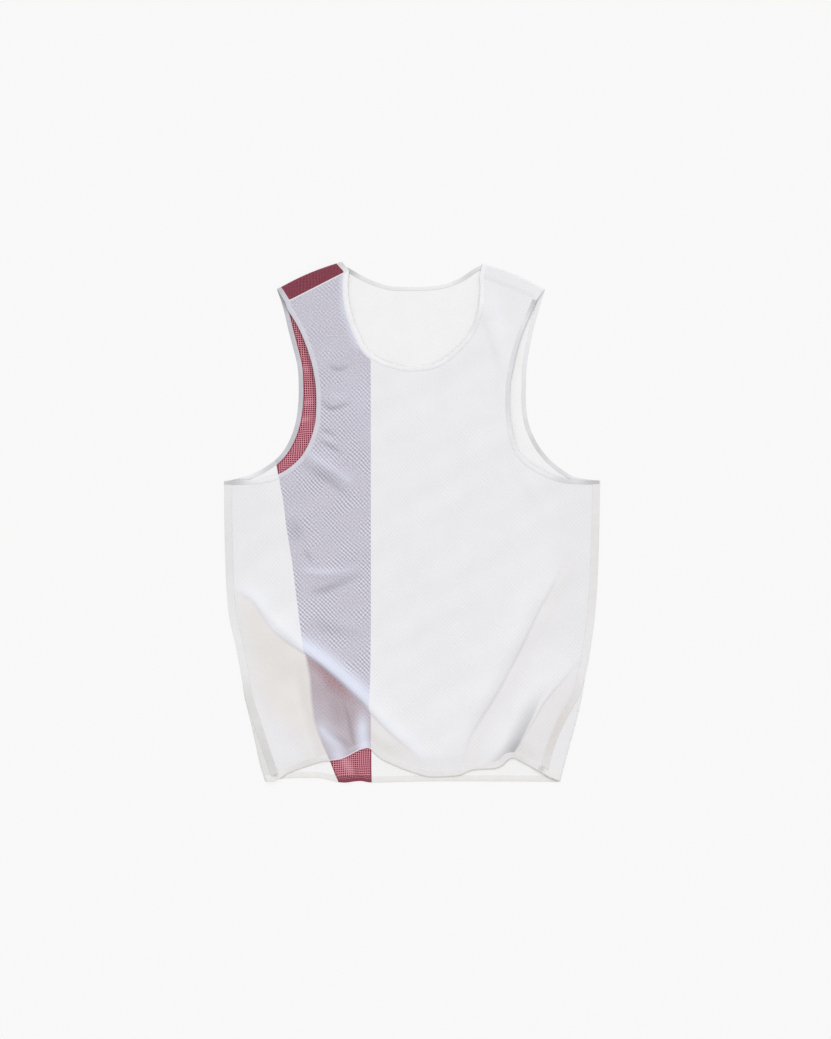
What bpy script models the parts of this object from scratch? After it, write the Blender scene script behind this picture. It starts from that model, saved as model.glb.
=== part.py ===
"""A running singlet laid flat: back panel on the surface, front panel over it in soft folds.

Frame: +X towards the wearer's left side, +Y from the hem to the neck, +Z up from the
surface that the singlet lies on. The origin is the centre of its box's underside. Metres.

Each panel starts as its flat cut. A layout function then lays that cut down: it rolls the
back forward over the shoulders and round the lower sides, and lifts the front in folds.
"""

from collections import namedtuple
import math

import bmesh
import bpy
import numpy as np
from mathutils.geometry import delaunay_2d_cdt

CLOTH = 0.0010
BINDING_WIDTH = 0.0058
BINDING_THICKNESS = 0.0015
HEM_WIDTH = 0.0085
HEM_THICKNESS = 0.0015
SEAM_STRIP_WIDTH = 0.0095
SEAM_STRIP_THICKNESS = 0.0008
SEAM_GAP = 0.0003

ROLL_RADIUS = 0.0020
HALF_ROLL = math.pi * ROLL_RADIUS
ROLL_STEPS = [share * HALF_ROLL / 4 for share in range(5)]
SEAM_STRIP_REACHES = (*(step / 2 for step in ROLL_STEPS), 0.0062, SEAM_STRIP_WIDTH)
EDGE_INSET = ROLL_RADIUS + CLOTH / 2
BACK_LEVEL = CLOTH / 2
EDGE_LEVEL = BACK_LEVEL + 2 * ROLL_RADIUS
REST_LEVEL = 0.0028
SINK_START = 0.012
SINK_END = 0.050
SEAM_HOLD = 0.016

# How far apart the panels' points are, and how close they may come to others.
OUTLINE_SPACING = 0.0105
FRONT_SPACING = 0.024
BACK_SPACING = 0.036
FOLD_SPACING = 0.012
FOLD_CLEARANCE = 0.0022
ROLL_SPACING = 0.016
CREST_SPACING = 0.003
LEAST_SPACING = 0.0007
GRID_MARGIN = 0.45
SIDE_END = 0.015
SHOULDER_POINTS = 8
CURVE_STEPS = 24

# Where rows of points run along a fold, as shares of its steep flank, of its gentle one
# and of how far beyond the steep one it stays raised.
STEEP_ROWS = (0, 0.35, 0.65, 1)
GENTLE_ROWS = (0.18, 0.45)
BEYOND_ROWS = (0.50,)

# Edges that meet at a sharper turn than this sine are mitred.
MITRE_SINE = 0.3

RIGHT, LEFT = -1, 1
SIDE_NAMES = {RIGHT: "right", LEFT: "left"}

# Where the garment's side edges lie, and how far the back turns round them to its seam.
Side = namedtuple("Side", "y right_x left_x right_turn left_turn")
SIDES = (
    Side(-0.3460, -0.1965, 0.1978, 0.0138, 0.0180),
    Side(-0.3270, -0.2037, 0.2030, 0.0130, 0.0215),
    Side(-0.2950, -0.2103, 0.2117, 0.0090, 0.0213),
    Side(-0.2630, -0.2163, 0.2210, 0.0058, 0.0160),
    Side(-0.2320, -0.2235, 0.2276, 0.0038, 0.0062),
    Side(-0.2000, -0.2292, 0.2322, HALF_ROLL / 2, HALF_ROLL / 2),
    Side(-0.1600, -0.2368, 0.2392, HALF_ROLL / 2, HALF_ROLL / 2),
    Side(-0.1280, -0.2430, 0.2434, HALF_ROLL / 2, HALF_ROLL / 2),
    Side(-0.0900, -0.2463, 0.2465, HALF_ROLL / 2, HALF_ROLL / 2),
    Side(-0.0500, -0.2475, 0.2483, HALF_ROLL / 2, HALF_ROLL / 2),
    Side(0.0030, -0.2490, 0.2494, HALF_ROLL / 2, HALF_ROLL / 2),
    Side(0.0560, -0.2503, 0.2503, HALF_ROLL / 2, HALF_ROLL / 2),
)

# Each shoulder's folded edge, how far the back turns over it at each end, and how far
# each end of the shoulder seam has moved along the fold towards the neck.
Shoulder = namedtuple("Shoulder", "tip neck tip_turn neck_turn tip_shift neck_shift")
SHOULDERS = {
    RIGHT: Shoulder((-0.1806, 0.3112), (-0.0948, 0.3464), 0.0236, 0.0158, 0.0036, 0.0045),
    LEFT: Shoulder((0.1772, 0.3112), (0.0934, 0.3464), 0.0200, 0.0212, 0.0045, -0.0040),
}

# Where the hem meets each side seam, and where both armhole edges meet at the underarm.
Corner = namedtuple("Corner", "hem_y underarm_y")
CORNERS = {RIGHT: Corner(-0.3457, 0.0553), LEFT: Corner(-0.3390, 0.0562)}
BACK_HEM_FOLD_Y = -0.3457

# The level of both hems' edges along the garment's width.
Hem = namedtuple("Hem", "x back front")
HEMS = (
    Hem(-0.1777, -0.3427, -0.3427),
    Hem(-0.1657, -0.3410, -0.3340),
    Hem(-0.1257, -0.3406, -0.3200),
    Hem(-0.0950, -0.3467, -0.3153),
    Hem(-0.0710, -0.3446, -0.3038),
    Hem(-0.0577, -0.3464, -0.3010),
    Hem(-0.0430, -0.3465, -0.3140),
    Hem(-0.0177, -0.3458, -0.3260),
    Hem(0.0060, -0.3453, -0.3370),
    Hem(0.0250, -0.3450, -0.3408),
    Hem(0.0603, -0.3449, -0.3385),
    Hem(0.0790, -0.3449, -0.3313),
    Hem(0.0943, -0.3449, -0.3293),
    Hem(0.1075, -0.3450, -0.3250),
    Hem(0.1220, -0.3450, -0.3165),
    Hem(0.1340, -0.3451, -0.3135),
    Hem(0.1570, -0.3453, -0.3247),
    Hem(0.1740, -0.3455, -0.3340),
)

# How far out each side of the neck's edge lies at each level.
Neck = namedtuple("Neck", "y right left")
NECKS = {
    "back": (
        Neck(0.3410, -0.0879, 0.0860),
        Neck(0.3340, -0.0755, 0.0760),
        Neck(0.3250, -0.0586, 0.0614),
        Neck(0.3180, -0.0388, 0.0411),
        Neck(0.3150, -0.0215, 0.0180),
    ),
    "front": (
        Neck(0.3160, -0.0858, 0.0906),
        Neck(0.2920, -0.0838, 0.0894),
        Neck(0.2680, -0.0776, 0.0837),
        Neck(0.2470, -0.0688, 0.0728),
        Neck(0.2300, -0.0594, 0.0564),
        Neck(0.2170, -0.0409, 0.0404),
        Neck(0.2100, -0.0196, 0.0243),
        Neck(0.2076, -0.0080, 0.0060),
    ),
}

# How far out the edges of both armholes lie at each level, on the back and on the front.
Armhole = namedtuple("Armhole", "y right_back right_front left_back left_front")
ARMHOLES = (
    Armhole(0.2880, -0.1725, -0.1686, 0.1699, 0.1626),
    Armhole(0.2600, -0.1659, -0.1518, 0.1620, 0.1496),
    Armhole(0.2330, -0.1589, -0.1404, 0.1564, 0.1407),
    Armhole(0.2080, -0.1530, -0.1329, 0.1526, 0.1346),
    Armhole(0.1820, -0.1514, -0.1287, 0.1515, 0.1305),
    Armhole(0.1560, -0.1522, -0.1279, 0.1517, 0.1299),
    Armhole(0.1300, -0.1563, -0.1300, 0.1558, 0.1320),
    Armhole(0.1050, -0.1659, -0.1379, 0.1669, 0.1374),
    Armhole(0.0860, -0.1799, -0.1494, 0.1815, 0.1498),
    Armhole(0.0720, -0.1992, -0.1650, 0.1979, 0.1681),
    Armhole(0.0640, -0.2164, -0.1791, 0.2101, 0.1848),
    Armhole(0.0600, -0.2283, -0.1914, 0.2217, 0.1967),
    Armhole(0.0575, -0.2377, -0.2069, 0.2380, 0.2138),
)

# A fold in the front: its crest from end to end, with the height of each point, the width
# of its gentle and steep flanks, how far the crest leans over the steep one, which side of
# its run that one is on (1 is the left-hand side, -1 the right-hand side), how far beyond
# the steep flank the cloth comes down slowly, and what share of the height it does so from.
Fold = namedtuple("Fold", "name crest gentle steep lean steep_side beyond beyond_share")
Crest = namedtuple("Crest", "x y height")
FOLDS = (
    Fold(
        "right waist roll",
        (
            Crest(-0.2370, -0.0815, 0.0015),
            Crest(-0.2137, -0.0880, 0.0050),
            Crest(-0.1900, -0.1090, 0.0075),
            Crest(-0.1430, -0.1560, 0.0095),
            Crest(-0.0843, -0.2060, 0.0100),
            Crest(-0.0310, -0.2560, 0.0085),
            Crest(0.0000, -0.2880, 0.0060),
            Crest(0.0240, -0.3380, 0.0025),
            Crest(0.0260, -0.3600, 0.0020),
        ),
        0.090,
        0.015,
        0.004,
        -1,
        0.050,
        0.50,
    ),
    Fold(
        "left waist crease",
        (
            Crest(0.2060, -0.0150, 0.0000),
            Crest(0.1810, -0.0790, 0.0032),
            Crest(0.1560, -0.1170, 0.0050),
            Crest(0.1310, -0.1670, 0.0055),
            Crest(0.1030, -0.2200, 0.0052),
            Crest(0.0820, -0.2550, 0.0045),
            Crest(0.0650, -0.2890, 0.0035),
            Crest(0.0570, -0.3400, 0.0015),
        ),
        0.075,
        0.014,
        0.002,
        1,
        0.050,
        0.45,
    ),
    Fold(
        "left hem tuck",
        (
            Crest(0.2290, -0.1790, 0.0000),
            Crest(0.2130, -0.1860, 0.0025),
            Crest(0.1950, -0.2030, 0.0050),
            Crest(0.1680, -0.2310, 0.0075),
            Crest(0.1500, -0.2600, 0.0080),
            Crest(0.1250, -0.3060, 0.0060),
            Crest(0.1090, -0.3270, 0.0040),
            Crest(0.1000, -0.3420, 0.0030),
        ),
        0.045,
        0.0085,
        0.0085,
        1,
        0.040,
        0.50,
    ),
    Fold(
        "band hem pleat",
        (
            Crest(-0.0640, -0.2500, 0.0000),
            Crest(-0.0655, -0.2800, 0.0030),
            Crest(-0.0655, -0.3150, 0.0040),
        ),
        0.014,
        0.012,
        0.0,
        1,
        0.012,
        0.0,
    ),
    Fold(
        "band hem corner",
        (
            Crest(-0.1400, -0.2480, 0.0000),
            Crest(-0.1220, -0.2720, 0.0020),
            Crest(-0.1080, -0.3000, 0.0030),
            Crest(-0.1000, -0.3300, 0.0030),
        ),
        0.018,
        0.020,
        0.0,
        -1,
        0.020,
        0.0,
    ),
    Fold(
        "right flap crease",
        (
            Crest(-0.1620, -0.2050, 0.0000),
            Crest(-0.1540, -0.2500, 0.0020),
            Crest(-0.1400, -0.2960, 0.0025),
            Crest(-0.1320, -0.3280, 0.0025),
        ),
        0.026,
        0.012,
        0.0,
        1,
        0.012,
        0.0,
    ),
    Fold(
        "right underarm crease",
        (
            Crest(-0.1400, 0.0930, 0.0010),
            Crest(-0.1060, 0.0700, 0.0035),
            Crest(-0.0740, 0.0500, 0.0000),
        ),
        0.014,
        0.010,
        0.0,
        -1,
        0.010,
        0.0,
    ),
    Fold(
        "left strap crease",
        (
            Crest(0.0900, 0.3100, 0.0000),
            Crest(0.0990, 0.2780, 0.0024),
            Crest(0.1130, 0.2350, 0.0026),
            Crest(0.1300, 0.1850, 0.0000),
        ),
        0.034,
        0.012,
        0.0,
        -1,
        0.012,
        0.0,
    ),
)

SURFACES = {
    "white mesh": ((0.90, 0.90, 0.93), 0.85),
    "binding": ((0.82, 0.82, 0.84), 0.75),
    "hem band": ((0.86, 0.85, 0.84), 0.80),
    "seam strip": ((0.84, 0.84, 0.83), 0.80),
}


def smooth_path(keys, spacing):
    """Points about this far apart along a Catmull-Rom curve through the keys."""
    keys = np.asarray(keys, float)
    ends = np.vstack([2 * keys[0] - keys[1], keys, 2 * keys[-1] - keys[-2]])
    fine = []
    for before, start, end, after in zip(ends, ends[1:], ends[2:], ends[3:]):
        for t in np.linspace(0, 1, CURVE_STEPS, endpoint=False):
            fine.append(
                0.5
                * (
                    2 * start
                    + (end - before) * t
                    + (2 * before - 5 * start + 4 * end - after) * t**2
                    + (3 * start - before - 3 * end + after) * t**3
                )
            )
    fine = np.array(fine + [keys[-1]])
    run = np.concatenate([[0], np.cumsum(np.linalg.norm(np.diff(fine[:, :2], axis=0), axis=1))])
    count = max(2, round(run[-1] / spacing) + 1)
    at = np.linspace(0, run[-1], count)
    return np.stack([np.interp(at, run, column) for column in fine.T], axis=1)


def smoothstep(value):
    share = np.clip(value, 0, 1)
    return share * share * (3 - 2 * share)


def side_value(y, column):
    """One column of the side table at these heights, smooth between its rows."""
    levels = np.array([row.y for row in SIDES])
    values = np.array([getattr(row, column) for row in SIDES])
    slopes = np.gradient(values, levels)
    y = np.clip(y, levels[0], levels[-1])
    row = np.clip(np.searchsorted(levels, y) - 1, 0, len(levels) - 2)
    step = levels[row + 1] - levels[row]
    t = (y - levels[row]) / step
    return (
        (2 * t**3 - 3 * t**2 + 1) * values[row]
        + (t**3 - 2 * t**2 + t) * step * slopes[row]
        + (3 * t**2 - 2 * t**3) * values[row + 1]
        + (t**3 - t**2) * step * slopes[row + 1]
    )


def fold_x(side, y):
    """How far out the cloth's middle starts to roll, as a distance from the middle line."""
    return side * side_value(y, SIDE_NAMES[side] + "_x") - EDGE_INSET


def turn(side, y):
    """How far the back turns past its side fold to the side seam."""
    return side_value(y, SIDE_NAMES[side] + "_turn")


def roll(past):
    """Reach and rise of cloth this far past the line where it rolls over."""
    angle = np.clip(past / ROLL_RADIUS, 0, math.pi)
    reach = ROLL_RADIUS * np.sin(angle) - np.maximum(past - HALF_ROLL, 0)
    return reach, ROLL_RADIUS * (1 - np.cos(angle))


def shoulder_line(side):
    """The shoulder's fold line: its tip end, its neck end and its outward direction."""
    tip = np.array(SHOULDERS[side].tip)
    neck = np.array(SHOULDERS[side].neck)
    along = (neck - tip) / np.linalg.norm(neck - tip)
    outward = np.array((along[1], -along[0])) * side
    return tip - outward * EDGE_INSET, neck - outward * EDGE_INSET, outward


def lay_back(flat):
    """The back's middle surface, from points of its flat cut."""
    flat = np.asarray(flat, float)
    placed = np.column_stack([flat, np.full(len(flat), BACK_LEVEL)])
    for side in (RIGHT, LEFT):
        past = side * flat[:, 0] - fold_x(side, flat[:, 1])
        rolled = past > 0
        reach, rise = roll(past[rolled])
        placed[rolled, 0] = side * (fold_x(side, flat[rolled, 1]) + reach)
        placed[rolled, 2] += rise
        tip, _, outward = shoulder_line(side)
        past = (flat - tip) @ outward
        rolled = (past > 0) & (side * flat[:, 0] > 0)
        reach, rise = roll(past[rolled])
        placed[rolled, :2] += np.outer(reach - past[rolled], outward)
        placed[rolled, 2] += rise
    return placed


def seam_point(side, end):
    """An end of the shoulder seam on the back's flat cut."""
    tip, neck, outward = shoulder_line(side)
    along = (neck - tip) / np.linalg.norm(neck - tip)
    row = SHOULDERS[side]
    if end == "tip":
        return tip + outward * row.tip_turn + along * row.tip_shift
    return neck + outward * row.neck_turn + along * row.neck_shift


def seam_in_plan(side, end):
    """An end of the shoulder seam as it lies, which is where the front's cut ends."""
    return lay_back([seam_point(side, end)])[0, :2]


def front_edge_x(side, y):
    """The front's side edge on its flat cut, as a distance from the middle line."""
    return fold_x(side, y) + HALF_ROLL - turn(side, y)


def distance_to_run(points, start, end):
    """Distance of each point from the straight line between two ends."""
    along = (end - start) / np.linalg.norm(end - start)
    share = np.clip((points - start) @ along, 0, np.linalg.norm(end - start))
    return np.linalg.norm(points - start - np.outer(share, along), axis=1)


def seam_distance(flat):
    """How far in from its nearest side or shoulder seam each point of the front is."""
    away = np.full(len(flat), np.inf)
    for side in (RIGHT, LEFT):
        away = np.minimum(away, front_edge_x(side, flat[:, 1]) - side * flat[:, 0])
        ends = seam_in_plan(side, "tip"), seam_in_plan(side, "neck")
        away = np.minimum(away, distance_to_run(flat, *ends))
    return away


def across_fold(fold, flat):
    """Signed distance from the crest, crest height there and direction of the steep side."""
    path = smooth_path(fold.crest, CREST_SPACING)
    apart = flat[:, None, :] - path[None, :, :2]
    nearest = np.argmin((apart**2).sum(axis=2), axis=1)
    tangent = np.gradient(path[:, :2], axis=0)
    tangent /= np.linalg.norm(tangent, axis=1)[:, None]
    steep_way = fold.steep_side * np.column_stack([-tangent[:, 1], tangent[:, 0]])
    offset = flat - path[nearest, :2]
    signed = np.sign((offset * steep_way[nearest]).sum(axis=1)) * np.linalg.norm(offset, axis=1)
    return signed, path[nearest, 2], steep_way[nearest]


def hump(across, width):
    """1 on a fold's crest and 0 from this width outwards, smooth between."""
    return np.cos(math.pi / 2 * np.clip(np.abs(across) / width, 0, 1)) ** 2


def lay_front(flat):
    """The front's middle surface, from points of its flat cut.

    It sinks inwards from its seams, and its folds die out where it is sewn down at them.
    """
    flat = np.asarray(flat, float)
    away = seam_distance(flat)
    sunk = smoothstep((away - SINK_START) / (SINK_END - SINK_START))
    placed = np.column_stack([flat, EDGE_LEVEL + (REST_LEVEL - EDGE_LEVEL) * sunk])
    free = smoothstep(away / SEAM_HOLD)
    for fold in FOLDS:
        signed, height, steep_way = across_fold(fold, flat)
        height = height * free
        share = hump(signed, np.where(signed < 0, fold.gentle, fold.steep))
        tallest = max(point.height for point in fold.crest)
        placed[:, :2] += (fold.lean * share * height / tallest)[:, None] * steep_way
        kept = np.where(signed < 0, share, hump(signed, fold.beyond))
        placed[:, 2] += height * (share + (kept - share) * fold.beyond_share)
    for side in (RIGHT, LEFT):
        past = side * flat[:, 0] - fold_x(side, flat[:, 1])
        rolled = past > 0
        reach, rise = roll(past[rolled])
        placed[rolled, 0] = side * (fold_x(side, flat[rolled, 1]) + reach)
        placed[rolled, 2] -= rise
    return placed


def inward_normals(lay, flat, facing):
    """Unit normals of a laid panel, on the garment's inside."""
    step = 1e-5
    flat = np.asarray(flat, float)
    across = lay(flat + (step, 0)) - lay(flat - (step, 0))
    along = lay(flat + (0, step)) - lay(flat - (0, step))
    normals = np.cross(across, along) * facing
    return normals / np.linalg.norm(normals, axis=1)[:, None]


# A panel's flat cut: its edge points in order, and the kind of edge after each point.
Cut = namedtuple("Cut", "points kinds lay facing")


def roll_steps(reach):
    """Distances past a fold at which the cloth is bent, up to its edge."""
    return [step for step in ROLL_STEPS if step < reach - LEAST_SPACING] + [reach]


def side_edge(side, low, high, edge_x):
    """The points of a panel's side edge, from the hem up, none within its end bands."""
    inner_low, inner_high = low + SIDE_END, high - SIDE_END
    levels = np.linspace(inner_low, inner_high, round((high - low) / OUTLINE_SPACING) - 1)
    levels = np.array([low, *levels, high])
    return np.column_stack([side * edge_x(side, levels), levels])


def back_edge_x(side, y):
    return fold_x(side, y) + turn(side, y)


def towards_side(side, y, fold_y, reach):
    """Edge points that run out round a side fold, from the fold to the seam."""
    points = []
    for step in roll_steps(reach):
        level = fold_y + (y - fold_y) * step / reach
        points.append((side * (fold_x(side, level) + step), level))
    return points


def over_shoulder(side, end):
    """Edge points that run over a shoulder's fold, from the fold to the seam."""
    tip, neck, _ = shoulder_line(side)
    start = tip if end == "tip" else neck
    seam = seam_point(side, end)
    reach = np.linalg.norm(seam - start)
    return [start + (seam - start) * step / reach for step in roll_steps(reach)]


def joined(lay, facing, runs):
    """A cut from its runs, each of them a kind of edge and its points."""
    points, kinds = [], []
    for kind, run in runs:
        run = [np.asarray(point, float) for point in run]
        points += run[:-1]
        kinds += [kind] * (len(run) - 1)
    return Cut(np.array(points), kinds, lay, facing)


def hem_keys(panel):
    return [(row.x, getattr(row, panel)) for row in HEMS]


def neck_keys(panel):
    """Points round a panel's neck edge, from its left end to its right end."""
    rows = NECKS[panel]
    return [(row.left, row.y) for row in rows] + [(row.right, row.y) for row in rows[::-1]]


def armhole_keys(side, panel):
    """Points down a panel's armhole edge, from the shoulder to the underarm."""
    return [(getattr(row, f"{SIDE_NAMES[side]}_{panel}"), row.y) for row in ARMHOLES]


def armhole_run(side, panel, tip_end, underarm_end):
    """An armhole's whole edge, from the shoulder to the underarm, with its ends' points."""
    keys = [tip_end[0], *armhole_keys(side, panel), underarm_end[0]]
    return [*tip_end[::-1], *smooth_path(keys, OUTLINE_SPACING)[1:-1], *underarm_end]


def shoulder_run(start, end):
    return np.linspace(start, end, SHOULDER_POINTS)


def back_cut():
    """The back panel's flat cut, anticlockwise from the right end of the hem."""
    hem_turn, arm_turn = {}, {}
    for side in (RIGHT, LEFT):
        low, high = CORNERS[side]
        hem_turn[side] = towards_side(side, low, BACK_HEM_FOLD_Y, turn(side, low))
        arm_turn[side] = towards_side(side, high, high, turn(side, high))
    arms = {
        side: armhole_run(side, "back", over_shoulder(side, "tip"), arm_turn[side])
        for side in (RIGHT, LEFT)
    }
    hem = smooth_path(
        [hem_turn[RIGHT][0], *hem_keys("back"), hem_turn[LEFT][0]], OUTLINE_SPACING
    )
    left_neck, right_neck = over_shoulder(LEFT, "neck"), over_shoulder(RIGHT, "neck")
    neck = smooth_path([left_neck[0], *neck_keys("back"), right_neck[0]], OUTLINE_SPACING)
    runs = (
        ("hem", [*hem_turn[RIGHT][::-1], *hem[1:-1], *hem_turn[LEFT]]),
        ("side", side_edge(LEFT, *CORNERS[LEFT], back_edge_x)),
        ("armhole left", arms[LEFT][::-1]),
        ("shoulder", shoulder_run(seam_point(LEFT, "tip"), seam_point(LEFT, "neck"))),
        ("neck", [*left_neck[::-1], *neck[1:-1], *right_neck]),
        ("shoulder", shoulder_run(seam_point(RIGHT, "neck"), seam_point(RIGHT, "tip"))),
        ("armhole right", arms[RIGHT]),
        ("side", side_edge(RIGHT, *CORNERS[RIGHT], back_edge_x)[::-1]),
    )
    return joined(lay_back, 1, runs)


def front_cut():
    """The front panel's flat cut, anticlockwise from the right end of the hem."""
    hem_end, arms, tips, necks = {}, {}, {}, {}
    for side in (RIGHT, LEFT):
        low, high = CORNERS[side]
        hem_end[side] = (side * front_edge_x(side, low), low)
        tips[side], necks[side] = seam_in_plan(side, "tip"), seam_in_plan(side, "neck")
        underarm = towards_side(side, high, high, HALF_ROLL - turn(side, high))
        arms[side] = armhole_run(side, "front", [tips[side]], underarm)
    hem = [hem_end[RIGHT], *hem_keys("front"), hem_end[LEFT]]
    neck = [necks[LEFT], *neck_keys("front"), necks[RIGHT]]
    runs = (
        ("hem", smooth_path(hem, OUTLINE_SPACING)),
        ("side", side_edge(LEFT, *CORNERS[LEFT], front_edge_x)),
        ("armhole left", arms[LEFT][::-1]),
        ("shoulder", shoulder_run(tips[LEFT], necks[LEFT])),
        ("neck", smooth_path(neck, OUTLINE_SPACING)),
        ("shoulder", shoulder_run(necks[RIGHT], tips[RIGHT])),
        ("armhole right", arms[RIGHT]),
        ("side", side_edge(RIGHT, *CORNERS[RIGHT], front_edge_x)[::-1]),
    )
    return joined(lay_front, -1, runs)


def inset(cut, distances):
    """The cut's edge points, with each edge moved in by its kind's distance."""
    points = cut.points
    ways = np.roll(points, -1, axis=0) - points
    ways /= np.linalg.norm(ways, axis=1)[:, None]
    inwards = np.column_stack([-ways[:, 1], ways[:, 0]])
    moved = []
    for index, point in enumerate(points):
        before, after = inwards[index - 1], inwards[index]
        first, second = (distances.get(cut.kinds[i], 0) for i in (index - 1, index))
        crossing = before[0] * after[1] - before[1] * after[0]
        if abs(crossing) > MITRE_SINE or first != second:
            shift = np.array(
                (
                    (first * after[1] - second * before[1]) / crossing,
                    (second * before[0] - first * after[0]) / crossing,
                )
            )
        else:
            shift = (before + after) * first / (1 + before @ after)
        moved.append(point + shift)
    return np.array(moved)


def inside_by(points, outline):
    """How far each point lies inside an outline, below zero outside it."""
    start, end = outline, np.roll(outline, -1, axis=0)
    way = end - start
    offset = points[:, None, :] - start[None]
    share = np.clip((offset * way).sum(axis=2) / (way**2).sum(axis=1), 0, 1)
    gap = np.linalg.norm(offset - share[..., None] * way, axis=2).min(axis=1)
    rises = (start[:, 1] > points[:, None, 1]) != (end[:, 1] > points[:, None, 1])
    slope = np.where(way[:, 1] == 0, 1, way[:, 1])
    crossing_x = start[:, 0] + way[:, 0] * (points[:, None, 1] - start[:, 1]) / slope
    within = (rises & (points[:, None, 0] < crossing_x)).sum(axis=1) % 2 == 1
    return np.where(within, gap, -gap)


def even_points(outline, spacing):
    """A triangular grid over an outline, clear of its edge."""
    low, high = outline.min(axis=0), outline.max(axis=0)
    rows = np.arange(low[1], high[1], spacing * math.sqrt(3) / 2)
    grid = [
        (x, y)
        for index, y in enumerate(rows)
        for x in np.arange(low[0] + spacing / 2 * (index % 2), high[0], spacing)
    ]
    grid = np.array(grid)
    return grid[inside_by(grid, outline) > spacing * GRID_MARGIN]


def side_roll_points(outline):
    """Rows of points where the back bends round its side folds."""
    levels = np.arange(SIDES[0].y, SIDES[-1].y, ROLL_SPACING)
    rows = [
        np.column_stack([side * (fold_x(side, levels) + step), levels])
        for side in (RIGHT, LEFT)
        for step in roll_steps(HALF_ROLL)
    ]
    rows = np.vstack(rows)
    return rows[inside_by(rows, outline) > LEAST_SPACING]


def side_seam_points(cut, outline):
    """Rows of points in the front under the strips of its side seams."""
    chosen = [index for index, kind in enumerate(cut.kinds) if kind == "side"]
    rows = np.vstack([inset(cut, {"side": reach})[chosen] for reach in SEAM_STRIP_REACHES[1:]])
    return rows[inside_by(rows, outline) > LEAST_SPACING / 3]


def shoulder_roll_points(outline):
    """Rows of points where the back bends over the shoulders."""
    rows = []
    for side in (RIGHT, LEFT):
        tip, neck, outward = shoulder_line(side)
        along = np.linspace(tip, neck, round(np.linalg.norm(neck - tip) / ROLL_SPACING) + 1)
        rows += [along + outward * step for step in roll_steps(HALF_ROLL)]
    rows = np.vstack(rows)
    return rows[inside_by(rows, outline) > LEAST_SPACING]


def fold_points(outline):
    """Rows of points along each fold's crest and flanks."""
    rows = []
    for fold in FOLDS:
        path = smooth_path(fold.crest, FOLD_SPACING)
        tangent = np.gradient(path[:, :2], axis=0)
        tangent /= np.linalg.norm(tangent, axis=1)[:, None]
        steep_way = fold.steep_side * np.column_stack([-tangent[:, 1], tangent[:, 0]])
        rows += [path[:, :2] + steep_way * fold.steep * share for share in STEEP_ROWS]
        rows += [path[:, :2] - steep_way * fold.gentle * share for share in GENTLE_ROWS]
        if fold.beyond_share:
            rows += [path[:, :2] + steep_way * fold.beyond * share for share in BEYOND_ROWS]
    rows = np.vstack(rows)
    return rows[inside_by(rows, outline) > FOLD_CLEARANCE]


def thinned(first, *later):
    """Points in order of rank, leaving out any that crowd one already kept."""
    kept = list(first)
    for points, apart in later:
        for point in points:
            if min(np.linalg.norm(np.array(kept) - point, axis=1)) > apart:
                kept.append(point)
    return np.array(kept[len(first) :]).reshape(-1, 2)


def material(name):
    """A Principled material for one of the listed surfaces."""
    colour, roughness = SURFACES[name]
    made = bpy.data.materials.get(name)
    if made is None:
        made = bpy.data.materials.new(name)
        made.use_nodes = True
        shader = made.node_tree.nodes["Principled BSDF"]
        shader.inputs["Base Color"].default_value = (*colour, 1)
        shader.inputs["Roughness"].default_value = roughness
        shader.inputs["Metallic"].default_value = 0
        made.diffuse_color = (*colour, 1)
    return made


def add_object(name, shape, surface, parent):
    """A named object in the singlet's collection, from an edit mesh that it uses up."""
    mesh = bpy.data.meshes.new(name)
    bmesh.ops.recalc_face_normals(shape, faces=shape.faces)
    shape.to_mesh(mesh)
    shape.free()
    mesh.shade_smooth()
    mesh.materials.append(material(surface))
    made = bpy.data.objects.new(name, mesh)
    made.parent = parent
    parent.users_collection[0].objects.link(made)
    return made


def add_panel(name, cut, interior, parent):
    """A panel: its cut less its bindings, filled with triangles, laid down and given a wall."""
    edge = panel_edge(cut)
    flat = [tuple(point) for point in (*edge, *interior)]
    rim = [(index, (index + 1) % len(edge)) for index in range(len(edge))]
    found, _, faces, *_ = delaunay_2d_cdt(flat, rim, [], 1, 1e-7)
    flat = np.array([tuple(point) for point in found])
    middle, normals = cut.lay(flat), inward_normals(cut.lay, flat, cut.facing)
    inside, outside = (middle + normals * half for half in (CLOTH / 2, -CLOTH / 2))
    shape = bmesh.new()
    number = shape.verts.layers.int.new("number")
    corners = [shape.verts.new(point) for point in outside]
    for index, corner in enumerate(corners):
        corner[number] = index
    for face in faces:
        shape.faces.new([corners[index] for index in face])
    raised = bmesh.ops.extrude_face_region(shape, geom=shape.faces[:], use_keep_orig=True)
    for item in raised["geom"]:
        if isinstance(item, bmesh.types.BMVert):
            item.co = inside[item[number]]
    return add_object(name, shape, "white mesh", parent)


def panel_edge(cut):
    """The edge of a panel's own cloth, which stops short of its bindings and seams."""
    return inset(
        cut,
        {
            "hem": HEM_WIDTH + SEAM_GAP,
            "neck": BINDING_WIDTH + SEAM_GAP,
            "armhole left": BINDING_WIDTH + SEAM_GAP,
            "armhole right": BINDING_WIDTH + SEAM_GAP,
            "side": SEAM_GAP / 2,
            "shoulder": SEAM_GAP / 2,
        },
    )


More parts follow.
